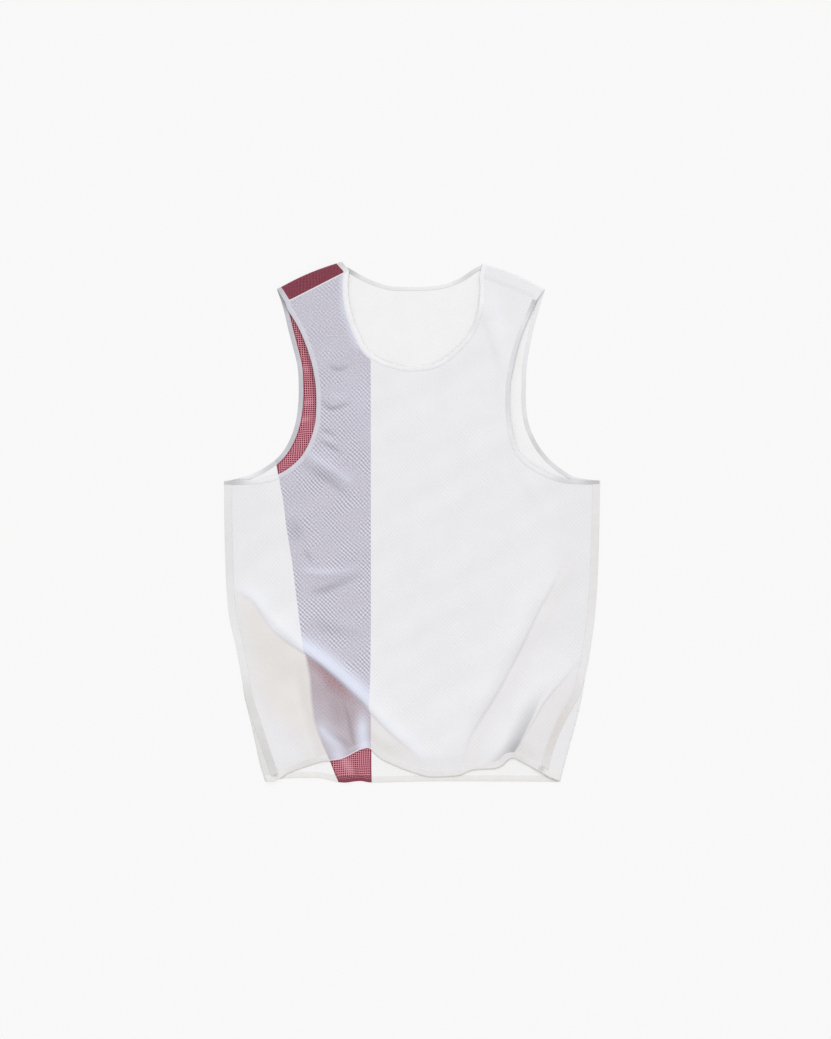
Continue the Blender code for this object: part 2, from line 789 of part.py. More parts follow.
def strip_sections(cut, kind, reaches, ends, thickness, lift):
    """Closed sections of a strip along one kind of edge, laid with its panel.

    Each reach is how far in from the edge the strip has a row of points, and ends holds
    how far it stops short of other kinds of edge.
    """
    chosen = [index for index, found in enumerate(cut.kinds) if found == kind]
    chosen.append((chosen[-1] + 1) % len(cut.kinds))
    inside, outside = [], []
    for reach in reaches:
        rim = inset(cut, {**ends, kind: reach})[chosen]
        placed, normals = cut.lay(rim), inward_normals(cut.lay, rim, cut.facing)
        inside.append(placed + normals * (lift + thickness / 2))
        outside.append(placed + normals * (lift - thickness / 2))
    return np.stack(inside + outside[::-1], axis=1)


def add_strip(name, sections, closed, surface, parent):
    """A strip lofted through its sections, as a loop or with flat ends."""
    shape = bmesh.new()
    rings = [[shape.verts.new(point) for point in section] for section in sections]
    for here, there in zip(rings, rings[1:] + rings[:1] if closed else rings[1:]):
        for corner, start in enumerate(here):
            beside = (corner + 1) % len(here)
            shape.faces.new((start, here[beside], there[beside], there[corner]))
    if not closed:
        shape.faces.new(rings[0][::-1])
        shape.faces.new(rings[-1])
    return add_object(name, shape, surface, parent)


def add_binding(name, kind, back, front, parent):
    """A binding that goes once round an opening, along the back's edge and the front's."""
    reaches = (0, BINDING_WIDTH)
    behind = strip_sections(back, kind, reaches, {}, BINDING_THICKNESS, 0)
    before = strip_sections(front, kind, reaches, {}, BINDING_THICKNESS, 0)[::-1]
    sections = np.concatenate([behind, before[1:-1]])
    sections[..., 2] += (BINDING_THICKNESS - CLOTH) / 2
    return add_strip(name, sections, True, "binding", parent)


def add_hem(name, cut, parent):
    """The stitched band along a panel's lower edge."""
    ends = {"side": SEAM_GAP / 2}
    sections = strip_sections(cut, "hem", (0, HEM_WIDTH), ends, HEM_THICKNESS, 0)
    sections[..., 2] += (HEM_THICKNESS - CLOTH) / 2
    return add_strip(name, sections, False, "hem band", parent)


def add_side_seam(name, side, front, parent):
    """The felled strip that lies on the front along one side seam."""
    kinds = [
        "this side" if found == "side" and side * point[0] > 0 else found
        for found, point in zip(front.kinds, front.points)
    ]
    ends = {
        "hem": HEM_WIDTH + 2 * SEAM_GAP,
        "armhole left": BINDING_WIDTH + 2 * SEAM_GAP,
        "armhole right": BINDING_WIDTH + 2 * SEAM_GAP,
    }
    sections = strip_sections(
        front._replace(kinds=kinds),
        "this side",
        SEAM_STRIP_REACHES,
        ends,
        SEAM_STRIP_THICKNESS,
        -(CLOTH / 2 + SEAM_GAP + SEAM_STRIP_THICKNESS / 2),
    )
    return add_strip(name, sections, False, "seam strip", parent)


def main():
    for old in list(bpy.data.objects):
        bpy.data.objects.remove(old)
    garment = bpy.data.collections.new("running_singlet")
    bpy.context.scene.collection.children.link(garment)
    origin = bpy.data.objects.new("singlet_origin", None)
    garment.objects.link(origin)

    back, front = back_cut(), front_cut()
    back_edge, front_edge = panel_edge(back), panel_edge(front)
    add_panel(
        "back_panel",
        back,
        thinned(
            back_edge,
            (side_roll_points(back_edge), LEAST_SPACING),
            (shoulder_roll_points(back_edge), LEAST_SPACING),
            (even_points(back_edge, BACK_SPACING), BACK_SPACING * GRID_MARGIN),
        ),
        origin,
    )
    add_panel(
        "front_panel",
        front,
        thinned(
            front_edge,
            (side_seam_points(front, front_edge), LEAST_SPACING / 3),
            (fold_points(front_edge), FOLD_CLEARANCE),
            (even_points(front_edge, FRONT_SPACING), FRONT_SPACING * GRID_MARGIN),
        ),
        origin,
    )
    add_binding("neck_binding", "neck", back, front, origin)
    add_binding("right_armhole_binding", "armhole right", back, front, origin)
    add_binding("left_armhole_binding", "armhole left", back, front, origin)
    add_hem("back_hem", back, origin)
    add_hem("front_hem", front, origin)
    add_side_seam("right_side_seam", RIGHT, front, origin)
    add_side_seam("left_side_seam", LEFT, front, origin)


if __name__ == "__main__":
    main()
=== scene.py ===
"""A running singlet laid flat: mesh cloth, bindings, hem bands, felled seams and stitches.

Frame: +X towards the wearer's left side, +Y from the hem to the neck, +Z up from the
surface that the singlet lies on. Metres.

Each panel is a flat cut. A layout lays that cut down: it rolls the back forward over the
shoulders and round the lower sides, and lifts the front in its folds and creases. The
tapes, seams and stitches follow the same layout, so they stay on the cloth they are sewn to.
"""

import logging
import math
from dataclasses import dataclass, field
from enum import Enum
from typing import NamedTuple, Sequence

import bpy
import numpy as np
from mathutils.geometry import delaunay_2d_cdt
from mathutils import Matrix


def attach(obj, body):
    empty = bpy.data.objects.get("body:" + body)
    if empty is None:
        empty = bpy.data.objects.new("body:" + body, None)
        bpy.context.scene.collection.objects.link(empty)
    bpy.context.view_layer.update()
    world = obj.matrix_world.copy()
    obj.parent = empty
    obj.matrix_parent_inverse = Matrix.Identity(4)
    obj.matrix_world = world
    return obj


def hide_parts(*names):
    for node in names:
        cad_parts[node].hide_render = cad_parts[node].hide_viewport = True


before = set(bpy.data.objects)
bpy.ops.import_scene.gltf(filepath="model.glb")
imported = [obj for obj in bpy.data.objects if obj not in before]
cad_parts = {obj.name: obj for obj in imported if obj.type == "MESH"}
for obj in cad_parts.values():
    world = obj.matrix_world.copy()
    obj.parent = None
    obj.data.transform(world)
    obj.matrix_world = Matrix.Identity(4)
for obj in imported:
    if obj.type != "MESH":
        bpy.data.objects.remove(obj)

Array = np.ndarray
Colour = tuple[float, float, float]
Socket = bpy.types.NodeSocket
SocketOrNumber = Socket | float
Values = dict[str | int, object]

LOG = logging.getLogger("running_singlet")

# Points of a smooth path between two keys, and points that are measured in one go.
CURVE_STEPS = 24
CHUNK = 4000
# How far apart the layout is probed for its normals, and points that count as one.
NORMAL_STEP = 1e-5
MERGE_DISTANCE = 1e-7
# Edges that meet at a smaller angle than this sine are moved in without a mitre.
MITRE_SINE = 0.3
# From this share of its greatest height up, a fold gives its painted highlight and shade in full.
FULL_SHARE = 0.5


class Side(Enum):
    """The wearer's right and left, as the sign of X."""

    RIGHT = -1
    LEFT = 1

    @property
    def word(self) -> str:
        """The side's name in lower case."""
        return self.name.lower()


class Edge(Enum):
    """The stretches of a panel's cut edge."""

    HEM = "hem"
    NECK = "neck"
    SIDE_RIGHT = "right side"
    SIDE_LEFT = "left side"
    SHOULDER_RIGHT = "right shoulder"
    SHOULDER_LEFT = "left shoulder"
    ARMHOLE_RIGHT = "right armhole"
    ARMHOLE_LEFT = "left armhole"

    @classmethod
    def of(cls, kind: str, side: Side) -> "Edge":
        """The stretch of this kind on this side."""
        return cls[f"{kind}_{side.name}"]


BOUND_EDGES = (Edge.NECK, Edge.ARMHOLE_LEFT, Edge.ARMHOLE_RIGHT)
SHOULDER_EDGES = (Edge.SHOULDER_LEFT, Edge.SHOULDER_RIGHT)


class Weave(Enum):
    """How one face of the mesh cloth looks: raised squares in a chequer, or a square net."""

    CHEQUER = "Chequer"
    NET = "Net"


class SideRow(NamedTuple):
    """Where the side edges lie at a level, and how far the back turns round them."""

    y: float
    right_x: float
    left_x: float
    right_turn: float
    left_turn: float


class ShoulderRow(NamedTuple):
    """A shoulder's folded edge, how far the back turns over it, and its seam's shift."""

    tip: tuple[float, float]
    neck: tuple[float, float]
    tip_turn: float
    neck_turn: float
    tip_shift: float
    neck_shift: float


class CornerRow(NamedTuple):
    """The levels at which a side seam meets the hem and the underarm."""

    hem_y: float
    underarm_y: float


class HemRow(NamedTuple):
    """The level of both hems' edges at one place along the width."""

    x: float
    back: float
    front: float


class NeckRow(NamedTuple):
    """How far out each side of a neck edge lies at one level."""

    y: float
    right: float
    left: float


class ArmholeRow(NamedTuple):
    """How far out the edges of both armholes lie at one level."""

    y: float
    right_back: float
    right_front: float
    left_back: float
    left_front: float


class Dusk(NamedTuple):
    """A place where a tape or strip gets painted shade: its middle, its reach and how much."""

    x: float
    y: float
    reach: float
    share: float


class CrestRow(NamedTuple):
    """A place on a fold's crest, and how high the fold stands there."""

    x: float
    y: float
    height: float


def table(kind: type, *rows: tuple) -> tuple:
    """A table with a row of this kind for each tuple."""
    return tuple(kind(*row) for row in rows)


SIDES = table(
    SideRow,
    (-0.346, -0.1957, 0.1972, 0.0138, 0.018),
    (-0.327, -0.202, 0.202, 0.013, 0.0225),
    (-0.295, -0.2092, 0.2105, 0.009, 0.0225),
    (-0.263, -0.2163, 0.2193, 0.0058, 0.0172),
    (-0.232, -0.224, 0.2262, 0.0038, 0.007),
    (-0.2, -0.2287, 0.2316, 0.0031, 0.0031),
    (-0.16, -0.2362, 0.2388, 0.0031, 0.0031),
    (-0.128, -0.2438, 0.2431, 0.0031, 0.0031),
    (-0.09, -0.2476, 0.2463, 0.0031, 0.0031),
    (-0.05, -0.2493, 0.2482, 0.0031, 0.0031),
    (0.003, -0.2506, 0.2496, 0.0031, 0.0031),
    (0.056, -0.2508, 0.2505, 0.0031, 0.0031),
)

SHOULDERS = {
    Side.RIGHT: ShoulderRow((-0.1806, 0.3112), (-0.0948, 0.3464), 0.0236, 0.0158, 0.0036, 0.006),
    Side.LEFT: ShoulderRow((0.1772, 0.3112), (0.0934, 0.3464), 0.02, 0.0212, 0.0045, -0.004),
}

CORNERS = {Side.RIGHT: CornerRow(-0.3457, 0.0553), Side.LEFT: CornerRow(-0.339, 0.0562)}
BACK_HEM_FOLD_Y = -0.3457

HEMS = table(
    HemRow,
    (-0.1777, -0.3427, -0.3427),
    (-0.1657, -0.341, -0.334),
    (-0.1257, -0.3406, -0.32),
    (-0.095, -0.3467, -0.3153),
    (-0.071, -0.3446, -0.3038),
    (-0.0577, -0.3464, -0.301),
    (-0.043, -0.3465, -0.314),
    (-0.0177, -0.3458, -0.326),
    (0.006, -0.3453, -0.3345),
    (0.025, -0.345, -0.3388),
    (0.0603, -0.3449, -0.3368),
    (0.079, -0.3449, -0.3299),
    (0.0943, -0.3449, -0.328),
    (0.1075, -0.345, -0.3268),
    (0.116, -0.345, -0.324),
    (0.127, -0.345, -0.314),
    (0.134, -0.3451, -0.3132),
    (0.157, -0.3453, -0.3247),
    (0.174, -0.3455, -0.334),
)

BACK_NECK = table(
    NeckRow,
    (0.341, -0.0879, 0.086),
    (0.334, -0.0755, 0.076),
    (0.325, -0.0586, 0.0614),
    (0.318, -0.0388, 0.0411),
    (0.315, -0.0215, 0.018),
)
FRONT_NECK = table(
    NeckRow,
    (0.316, -0.0858, 0.0906),
    (0.292, -0.0838, 0.0894),
    (0.268, -0.0776, 0.0837),
    (0.247, -0.0688, 0.0728),
    (0.23, -0.0594, 0.0564),
    (0.217, -0.0409, 0.0404),
    (0.21, -0.0196, 0.0243),
    (0.2076, -0.008, 0.006),
)

ARMHOLES = table(
    ArmholeRow,
    (0.288, -0.1725, -0.1686, 0.1699, 0.1626),
    (0.26, -0.1659, -0.1518, 0.162, 0.1496),
    (0.233, -0.1589, -0.1404, 0.1564, 0.1407),
    (0.208, -0.153, -0.1329, 0.1526, 0.1346),
    (0.182, -0.1514, -0.1287, 0.1515, 0.1305),
    (0.156, -0.1522, -0.1279, 0.1517, 0.1299),
    (0.13, -0.1563, -0.13, 0.1558, 0.132),
    (0.105, -0.1659, -0.1379, 0.1669, 0.1374),
    (0.086, -0.1799, -0.1494, 0.1815, 0.1498),
    (0.072, -0.1992, -0.165, 0.1979, 0.1681),
    (0.064, -0.2164, -0.1791, 0.2101, 0.1848),
    (0.06, -0.2283, -0.1914, 0.2217, 0.1967),
    (0.0575, -0.2377, -0.2069, 0.238, 0.2138),
)

# The outer edge of the printed band, which both panels share, and its inner edge on each.
BAND_OUTER = (
    (-0.36, -0.095), (-0.3447, -0.099), (-0.3373, -0.1024), (-0.3207, -0.1087), (-0.296, -0.1195),
    (-0.2767, -0.127), (-0.26, -0.1312), (-0.238, -0.1345), (-0.2073, -0.1362), (-0.1793, -0.141),
    (-0.1287, -0.1497), (-0.09, -0.155), (-0.05, -0.1603), (-0.0313, -0.1637), (-0.002, -0.1683),
    (0.0313, -0.1723), (0.0593, -0.1777), (0.12, -0.19), (0.2, -0.25),
)
FRONT_BAND_INNER = ((-0.36, -0.0537), (-0.33, -0.055), (0.4, -0.0555))
BACK_BAND_INNER = (
    (-0.36, -0.0535), (-0.33, -0.0545), (0.2, -0.0555), (0.21, -0.057), (0.23, -0.064),
    (0.247, -0.0735), (0.268, -0.083), (0.3, -0.093), (0.32, -0.0945), (0.334, -0.0935),
    (0.36, -0.0935),
)

# Spots of painted shade on the tapes, seam strips and hem bands.
BACK_TAPE_SHADE = table(
    Dusk,
    (-0.177, 0.298, 0.036, 0.95),
    (-0.16, 0.245, 0.07, 0.38),
    (-0.151, 0.175, 0.07, 0.38),
    (-0.16, 0.115, 0.05, 0.36),
    (-0.188, 0.079, 0.034, 0.44),
    (-0.242, 0.057, 0.022, 0.65),
    (0.1515, 0.17, 0.07, 0.14),
    (0.169, 0.1, 0.05, 0.4),
    (0.2, 0.072, 0.03, 0.25),
    (-0.086, 0.34, 0.034, 0.8),
    (-0.056, 0.325, 0.034, 0.24),
    (0.074, 0.333, 0.036, 0.38),
    (0.156, 0.13, 0.03, 0.24),
    (-0.03, 0.315, 0.07, 0.14),
    (0.03, 0.315, 0.06, 0.08),
)
FRONT_TAPE_SHADE = table(
    Dusk,
    (0.165, 0.298, 0.04, 0.6),
    (0.138, 0.23, 0.06, 0.24),
    (0.131, 0.17, 0.08, 0.24),
    (0.205, 0.06, 0.03, 0.34),
    (0.246, 0.057, 0.042, 0.68),
    (0.01, 0.207, 0.06, 0.09),
    (0.062, 0.23, 0.05, 0.11),
    (-0.242, 0.057, 0.034, 0.65),
    (0.084, 0.265, 0.03, 0.16),
)
SEAM_SHADE = table(
    Dusk,
    (-0.195, -0.315, 0.11, 0.56),
    (-0.218, -0.245, 0.06, 0.42),
    (-0.24, -0.03, 0.12, 0.2),
    (0.24, -0.04, 0.16, 0.2),
    (0.205, -0.29, 0.11, 0.44),
)
FRONT_HEM_SHADE = table(
    Dusk,
    (-0.1827, -0.336, 0.006, 0.75),
    (-0.138, -0.322, 0.048, 0.17),
    (0.1723, -0.328, 0.007, 0.62),
    (0.14, -0.316, 0.02, 0.16),
)
BACK_HEM_SHADE = table(
    Dusk,
    (-0.192, -0.343, 0.01, 0.45),
    (0.19, -0.34, 0.012, 0.3),
)


def dusk_at(flat: Array, spots: Sequence[Dusk]) -> Array:
    """How much painted shade a tape or strip gets at points of the flat cut.

    Args:
        flat: Points of the flat cut.
        spots: The places that get painted shade.

    Returns:
        Shares of 1.
    """
    total = np.zeros(flat.shape[:-1])
    for spot in spots:
        away = np.linalg.norm(flat - (spot.x, spot.y), axis=-1) / spot.reach
        total = np.maximum(total, spot.share * (1 - smoothstep(away)))
    return total


def smoothstep(value: Array) -> Array:
    """A smooth rise from 0 to 1 as the value goes from 0 to 1."""
    share = np.clip(value, 0, 1)
    return share * share * (3 - 2 * share)


def smooth_path(keys: Sequence, spacing: float) -> Array:
    """Points about this far apart along a Catmull-Rom curve through the keys.

    Args:
        keys: Points of two or more numbers, of which the first two are X and Y.
        spacing: The distance wanted between the points.

    Returns:
        The points, with the keys' other numbers carried along.
    """
    keys = np.asarray(keys, float)
    ends = np.vstack([2 * keys[0] - keys[1], keys, 2 * keys[-1] - keys[-2]])
    t = np.linspace(0, 1, CURVE_STEPS, endpoint=False)[:, None]
    fine = [
        0.5
        * (
            2 * start
            + (end - before) * t
            + (2 * before - 5 * start + 4 * end - after) * t**2
            + (3 * start - before - 3 * end + after) * t**3
        )
        for before, start, end, after in zip(ends, ends[1:], ends[2:], ends[3:])
    ]
    fine = np.vstack([*fine, keys[-1:]])
    run = run_lengths(fine[:, :2])
    at = np.linspace(0, run[-1], max(2, round(run[-1] / spacing) + 1))
    return np.stack([np.interp(at, run, column) for column in fine.T], axis=1)


def run_lengths(points: Array) -> Array:
    """How far along a line of points each one is."""
    return np.concatenate([[0], np.cumsum(np.linalg.norm(np.diff(points, axis=0), axis=1))])


def cubic(
    t: Array, gap: Array, start: Array, end: Array, leaving: Array, arriving: Array
) -> Array:
    """Values on a cubic curve between two known ones.

    Args:
        t: The share of the way from the first to the second.
        gap: How far apart the two are.
        start: The first value.
        end: The second value.
        leaving: The slope at the first.
        arriving: The slope at the second.

    Returns:
        The value at each share.
    """
    return (
        (2 * t**3 - 3 * t**2 + 1) * start
        + (t**3 - 2 * t**2 + t) * gap * leaving
        + (3 * t**2 - 2 * t**3) * end
        + (t**3 - t**2) * gap * arriving
    )


def finer(points: Array, steps: Sequence[int]) -> Array:
    """Points on a smooth curve through others, with so many steps between each two.

    Args:
        points: The points that the curve goes through.
        steps: How many steps there are from each point to the next.

    Returns:
        The finer points, with both ends.
    """
    gaps = np.maximum(np.linalg.norm(np.diff(points, axis=0), axis=1), MERGE_DISTANCE)[:, None]
    slopes = np.diff(points, axis=0) / gaps
    middle = (slopes[:-1] * gaps[1:] + slopes[1:] * gaps[:-1]) / (gaps[:-1] + gaps[1:])
    slopes = np.vstack([slopes[:1], middle, slopes[-1:]])
    made = []
    for index, count in enumerate(steps):
        t = np.arange(count)[:, None] / count
        ends = (*points[index : index + 2], *slopes[index : index + 2])
        made.append(cubic(t, gaps[index], *ends))
    return np.vstack([*made, points[-1:]])


class Beside(NamedTuple):
    """Where points lie beside a path: how far to its left, its height and its left-hand way."""

    offset: Array
    height: Array
    way: Array


def beside(path: Array, flat: Array) -> Beside:
    """Where flat points lie beside the nearest place on a path.

    Args:
        path: Rows of X, Y and height along the path.
        flat: The points.

    Returns:
        Their signed distances, the path's heights and its left-hand directions.
    """
    start, way = path[:-1, :2], np.diff(path[:, :2], axis=0)
    tangents = np.gradient(path[:, :2], axis=0)
    tangents /= np.linalg.norm(tangents, axis=1)[:, None]
    offsets, heights, ways = [], [], []
    for first in range(0, len(flat), CHUNK):
        apart = flat[first : first + CHUNK, None, :] - start[None]
        share = np.clip((apart * way).sum(axis=2) / (way**2).sum(axis=1), 0, 1)
        apart -= share[..., None] * way
        gaps = (apart**2).sum(axis=2)
        nearest = gaps.argmin(axis=1)
        rows = np.arange(len(nearest))
        share = share[rows, nearest][:, None]
        tangent = tangents[nearest] * (1 - share) + tangents[nearest + 1] * share
        left = np.column_stack([-tangent[:, 1], tangent[:, 0]])
        turned = np.sign((apart[rows, nearest] * left).sum(axis=1))
        offsets.append(turned * np.sqrt(gaps[rows, nearest]))
        share = share[:, 0]
        heights.append(path[nearest, 2] * (1 - share) + path[nearest + 1, 2] * share)
        ways.append(left)
    return Beside(np.concatenate(offsets), np.concatenate(heights), np.vstack(ways))


@dataclass(frozen=True)
class Fold:
    """A fold in the cloth: a crest with a gentle flank and a steep one that it may lean over.

    The steep side is 1 on the left-hand side of the crest's run and -1 on its right. The
    shift moves the crest to that side where it is high. Past the steep flank the cloth may
    stay raised and come down slowly. The nose is the last, sharper rise to the crest, and
    the shine is a painted highlight: how much paler the cloth is painted near the crest,
    centred that far from the crest and that wide.
    """

    name: str
    crest: tuple[CrestRow, ...]
    gentle: float
    steep: float
    lean: float = 0.0
    steep_side: int = 1
    shift: float = 0.0
    beyond: float = 0.0
    beyond_share: float = 0.0
    nose: float = 0.0
    nose_share: float = 0.0
    shine: float = 0.0
    shine_at: float = 0.0
    shine_width: float = 0.012
    spacing: float = 0.002

    def path(self) -> Array:
        """The crest as close points, with the fold's height at each."""
        path = smooth_path(self.crest, self.spacing)
        if self.shift:
            way = np.gradient(path[:, :2], axis=0)
            way = np.column_stack([-way[:, 1], way[:, 0]]) / np.linalg.norm(way, axis=1)[:, None]
            share = path[:, 2] / path[:, 2].max()
            path[:, :2] += way * (self.shift * self.steep_side * share)[:, None]
        return path

    def near(self, flat: Array) -> Array:
        """Which of the points may be on the fold's flanks."""
        path, reach = self.path()[:, :2], max(self.gentle, self.steep, self.beyond)
        low, high = path.min(axis=0) - reach, path.max(axis=0) + reach
        return np.flatnonzero(((flat > low) & (flat < high)).all(axis=1))

    @staticmethod
    def swell(across: Array, width: float | Array) -> Array:
        """A smooth hump that is 1 at the crest and 0 from this width outwards."""
        return np.cos(math.pi / 2 * np.clip(np.abs(across) / width, 0, 1)) ** 2

    def lift(self, flat: Array, placed: Array, free: Array) -> None:
        """Raises the placed points of this fold and leans them over its steep side.

        Args:
            flat: Points of the flat cut.
            placed: Where they lie, which this changes.
            free: What share of its rise the cloth has at each point.
        """
        chosen = self.near(flat)
        if not len(chosen):
            return
        found = beside(self.path(), flat[chosen])
        across = found.offset * self.steep_side
        share = self.swell(across, np.where(across < 0, self.gentle, self.steep))
        if self.nose:
            nose = self.swell(across, np.where(across < 0, self.nose, self.steep))
            share = share * (1 - self.nose_share) + nose * self.nose_share
        height = found.height * free[chosen]
        tallest = max(abs(row.height) for row in self.crest)
        leaning = self.lean * share * np.abs(height) / tallest * self.steep_side
        placed[chosen, :2] += leaning[:, None] * found.way
        if self.beyond:
            kept = np.where(across < 0, share, self.swell(across, self.beyond))
            share = share * (1 - self.beyond_share) + kept * self.beyond_share
        placed[chosen, 2] += height * share

    def cover(self, flat: Array) -> Array:
        """The fold's height at each point, for a stroke whose heights are shares of 1.

        Args:
            flat: Points of the flat cut.

        Returns:
            The heights, 0 away from the fold.
        """
        total = np.zeros(len(flat))
        chosen = self.near(flat)
        if len(chosen):
            found = beside(self.path(), flat[chosen])
            across = found.offset * self.steep_side
            width = np.where(across < 0, self.gentle, self.steep)
            total[chosen] = found.height * self.swell(across, width)
        return total

    def gleam(self, flat: Array) -> Array:
        """How much painted highlight the fold gives each point.

        Args:
            flat: Points of the flat cut.

        Returns:
            Shares of 1.
        """
        total = np.zeros(len(flat))
        chosen = self.near(flat) if self.shine else []
        if len(chosen):
            found = beside(self.path(), flat[chosen])
            across = found.offset * self.steep_side - self.shine_at
            tallest = max(abs(row.height) for row in self.crest)
            ends = smoothstep(np.abs(found.height) / (tallest * FULL_SHARE))
            total[chosen] = self.shine * self.swell(across, self.shine_width) * ends
        return total


def gleam_at(flat: Array, folds: Sequence[Fold]) -> Array:
    """How much painted highlight each point gets from the fold that gives it most.

    Args:
        flat: Points of the flat cut.
        folds: The folds.

    Returns:
        Shares of 1.
    """
    total = np.zeros(len(flat))
    for crease in folds:
        total = np.maximum(total, crease.gleam(flat))
    return total


def fold(name: str, *rows: tuple[float, float, float], **sizes: float) -> Fold:
    """A fold of these sizes whose crest runs through rows of X, Y and height."""
    return Fold(name, table(CrestRow, *rows), **sizes)


def creases(*entries: tuple) -> tuple[Fold, ...]:
    """Soft ridges, troughs or strokes: a name, a half width, and rows of X, Y and height."""
    return tuple(fold(name, *rows, gentle=width, steep=width) for name, width, *rows in entries)


WAIST_ROLL = fold(
    "right waist roll", (-0.248, -0.087, 0), (-0.24, -0.088, 0.0015), (-0.2225, -0.0895, 0.004),
    (-0.203, -0.101, 0.0065), (-0.1835, -0.129, 0.008), (-0.162, -0.147, 0.009),
    (-0.1423, -0.16, 0.0095), (-0.12, -0.174, 0.01), (-0.0885, -0.2, 0.01),
    (-0.057, -0.231, 0.0095), (-0.044, -0.248, 0.009), (-0.0204, -0.2745, 0.007),
    (0.008, -0.302, 0.0042), (0.019, -0.326, 0.002), (0.021, -0.36, 0.001), gentle=0.09,
    steep=0.009, lean=0.0035, steep_side=-1, shift=0.0065, beyond=0.06, beyond_share=0.74,
    nose=0.03, nose_share=0.5, shine=1.0, shine_at=-0.005, shine_width=0.017,
)
LEFT_CREASE = fold(
    "left waist crease", (0.208, -0.018, 0), (0.185, -0.072, 0.003), (0.161, -0.115, 0.005),
    (0.137, -0.165, 0.0055), (0.108, -0.22, 0.0052), (0.087, -0.255, 0.0045),
    (0.069, -0.289, 0.0035), (0.06, -0.34, 0.0015), gentle=0.075, steep=0.011, lean=0.0045,
    beyond=0.05, beyond_share=0.45, nose=0.024, nose_share=0.4, shine=0.3, shine_at=-0.024,
    shine_width=0.018,
)
HEM_TUCK = fold(
    "left hem tuck", (0.229, -0.179, 0), (0.213, -0.186, 0.0025), (0.195, -0.203, 0.005),
    (0.168, -0.231, 0.0075), (0.15, -0.26, 0.008), (0.125, -0.306, 0.006), (0.109, -0.327, 0.004),
    (0.1, -0.342, 0.003), gentle=0.045, steep=0.008, lean=0.0035, shift=0.006, beyond=0.07,
    beyond_share=0.76, nose=0.026, nose_share=0.35, shine=0.15, shine_at=-0.016, shine_width=0.018,
)


class Shelter(NamedTuple):
    """How far beyond a fold's edge its cloth gets painted shade, and how much to its right and left.
    """

    fold: Fold
    far: float
    fade: float
    most: tuple[float, float]


FOLD_SHADES = table(
    Shelter,
    (WAIST_ROLL, 0.118, 0.05, (1.0, 0.5)),
    (HEM_TUCK, 0.09, 0.05, (0.46, 0.46)),
    (LEFT_CREASE, 0.03, 0.015, (0.22, 0.22)),
)
# Where the painted shade below a fold changes from its share on the right to its share on the left.
FOLD_SHADE_CHANGE_X = (-0.075, -0.04)
# By X, how far below the waist roll the back's print shows through the flap, darkened by
# painted shade near the roll's edge, and how much.
SHOW_THROUGH_ROWS = (
    ((-0.134, -0.112, -0.09, -0.07), (0.026, 0.036, 0.032, 0.024)),
    ((-0.134, -0.112, -0.094, -0.078, -0.06), (0.7, 1.0, 1.0, 0.55, 0.25)),
)
LARGE_FOLDS = (WAIST_ROLL, LEFT_CREASE, HEM_TUCK)
FOLDS = (
    *LARGE_FOLDS,
    fold(
        "band hem pleat", (-0.063, -0.238, 0), (-0.066, -0.258, 0.0008), (-0.066, -0.28, 0.002),
        (-0.064, -0.299, 0.0032), (-0.06, -0.32, 0.0038), gentle=0.014, steep=0.012, shine=1.0,
        shine_width=0.0145,
    ),
    fold(
        "band hem corner", (-0.13, -0.26, 0), (-0.1185, -0.275, 0.0014), (-0.1085, -0.288, 0.0026),
        (-0.099, -0.307, 0.003), (-0.0955, -0.33, 0.003), gentle=0.018, steep=0.02, steep_side=-1,
        shine=0.66, shine_width=0.015,
    ),
    fold(
        "right flap crease", (-0.162, -0.205, 0), (-0.154, -0.25, 0.002), (-0.14, -0.296, 0.0025),
        (-0.132, -0.328, 0.0025), gentle=0.026, steep=0.012,
    ),
    fold(
        "right underarm crease", (-0.14, 0.093, 0.001), (-0.106, 0.07, 0.0035), (-0.074, 0.05, 0),
        gentle=0.014, steep=0.01, steep_side=-1, shine=0.35, shine_width=0.008,
    ),
    # A fold almost without height, for a painted highlight along the right strap's neck edge.
    fold(
        "right strap neck edge", (-0.085, 0.324, 0.0003), (-0.0842, 0.305, 0.0003),
        (-0.0825, 0.288, 0.0003), (-0.077, 0.268, 0.0003), (-0.0685, 0.247, 0.0002),
        (-0.06, 0.233, 0), gentle=0.012, steep=0.012, shine=0.95, shine_width=0.019,
    ),
    fold(
        "left strap crease", (0.09, 0.31, 0), (0.099, 0.278, 0.0024), (0.113, 0.235, 0.0026),
        (0.13, 0.185, 0), gentle=0.034, steep=0.012, steep_side=-1,
    ),
)
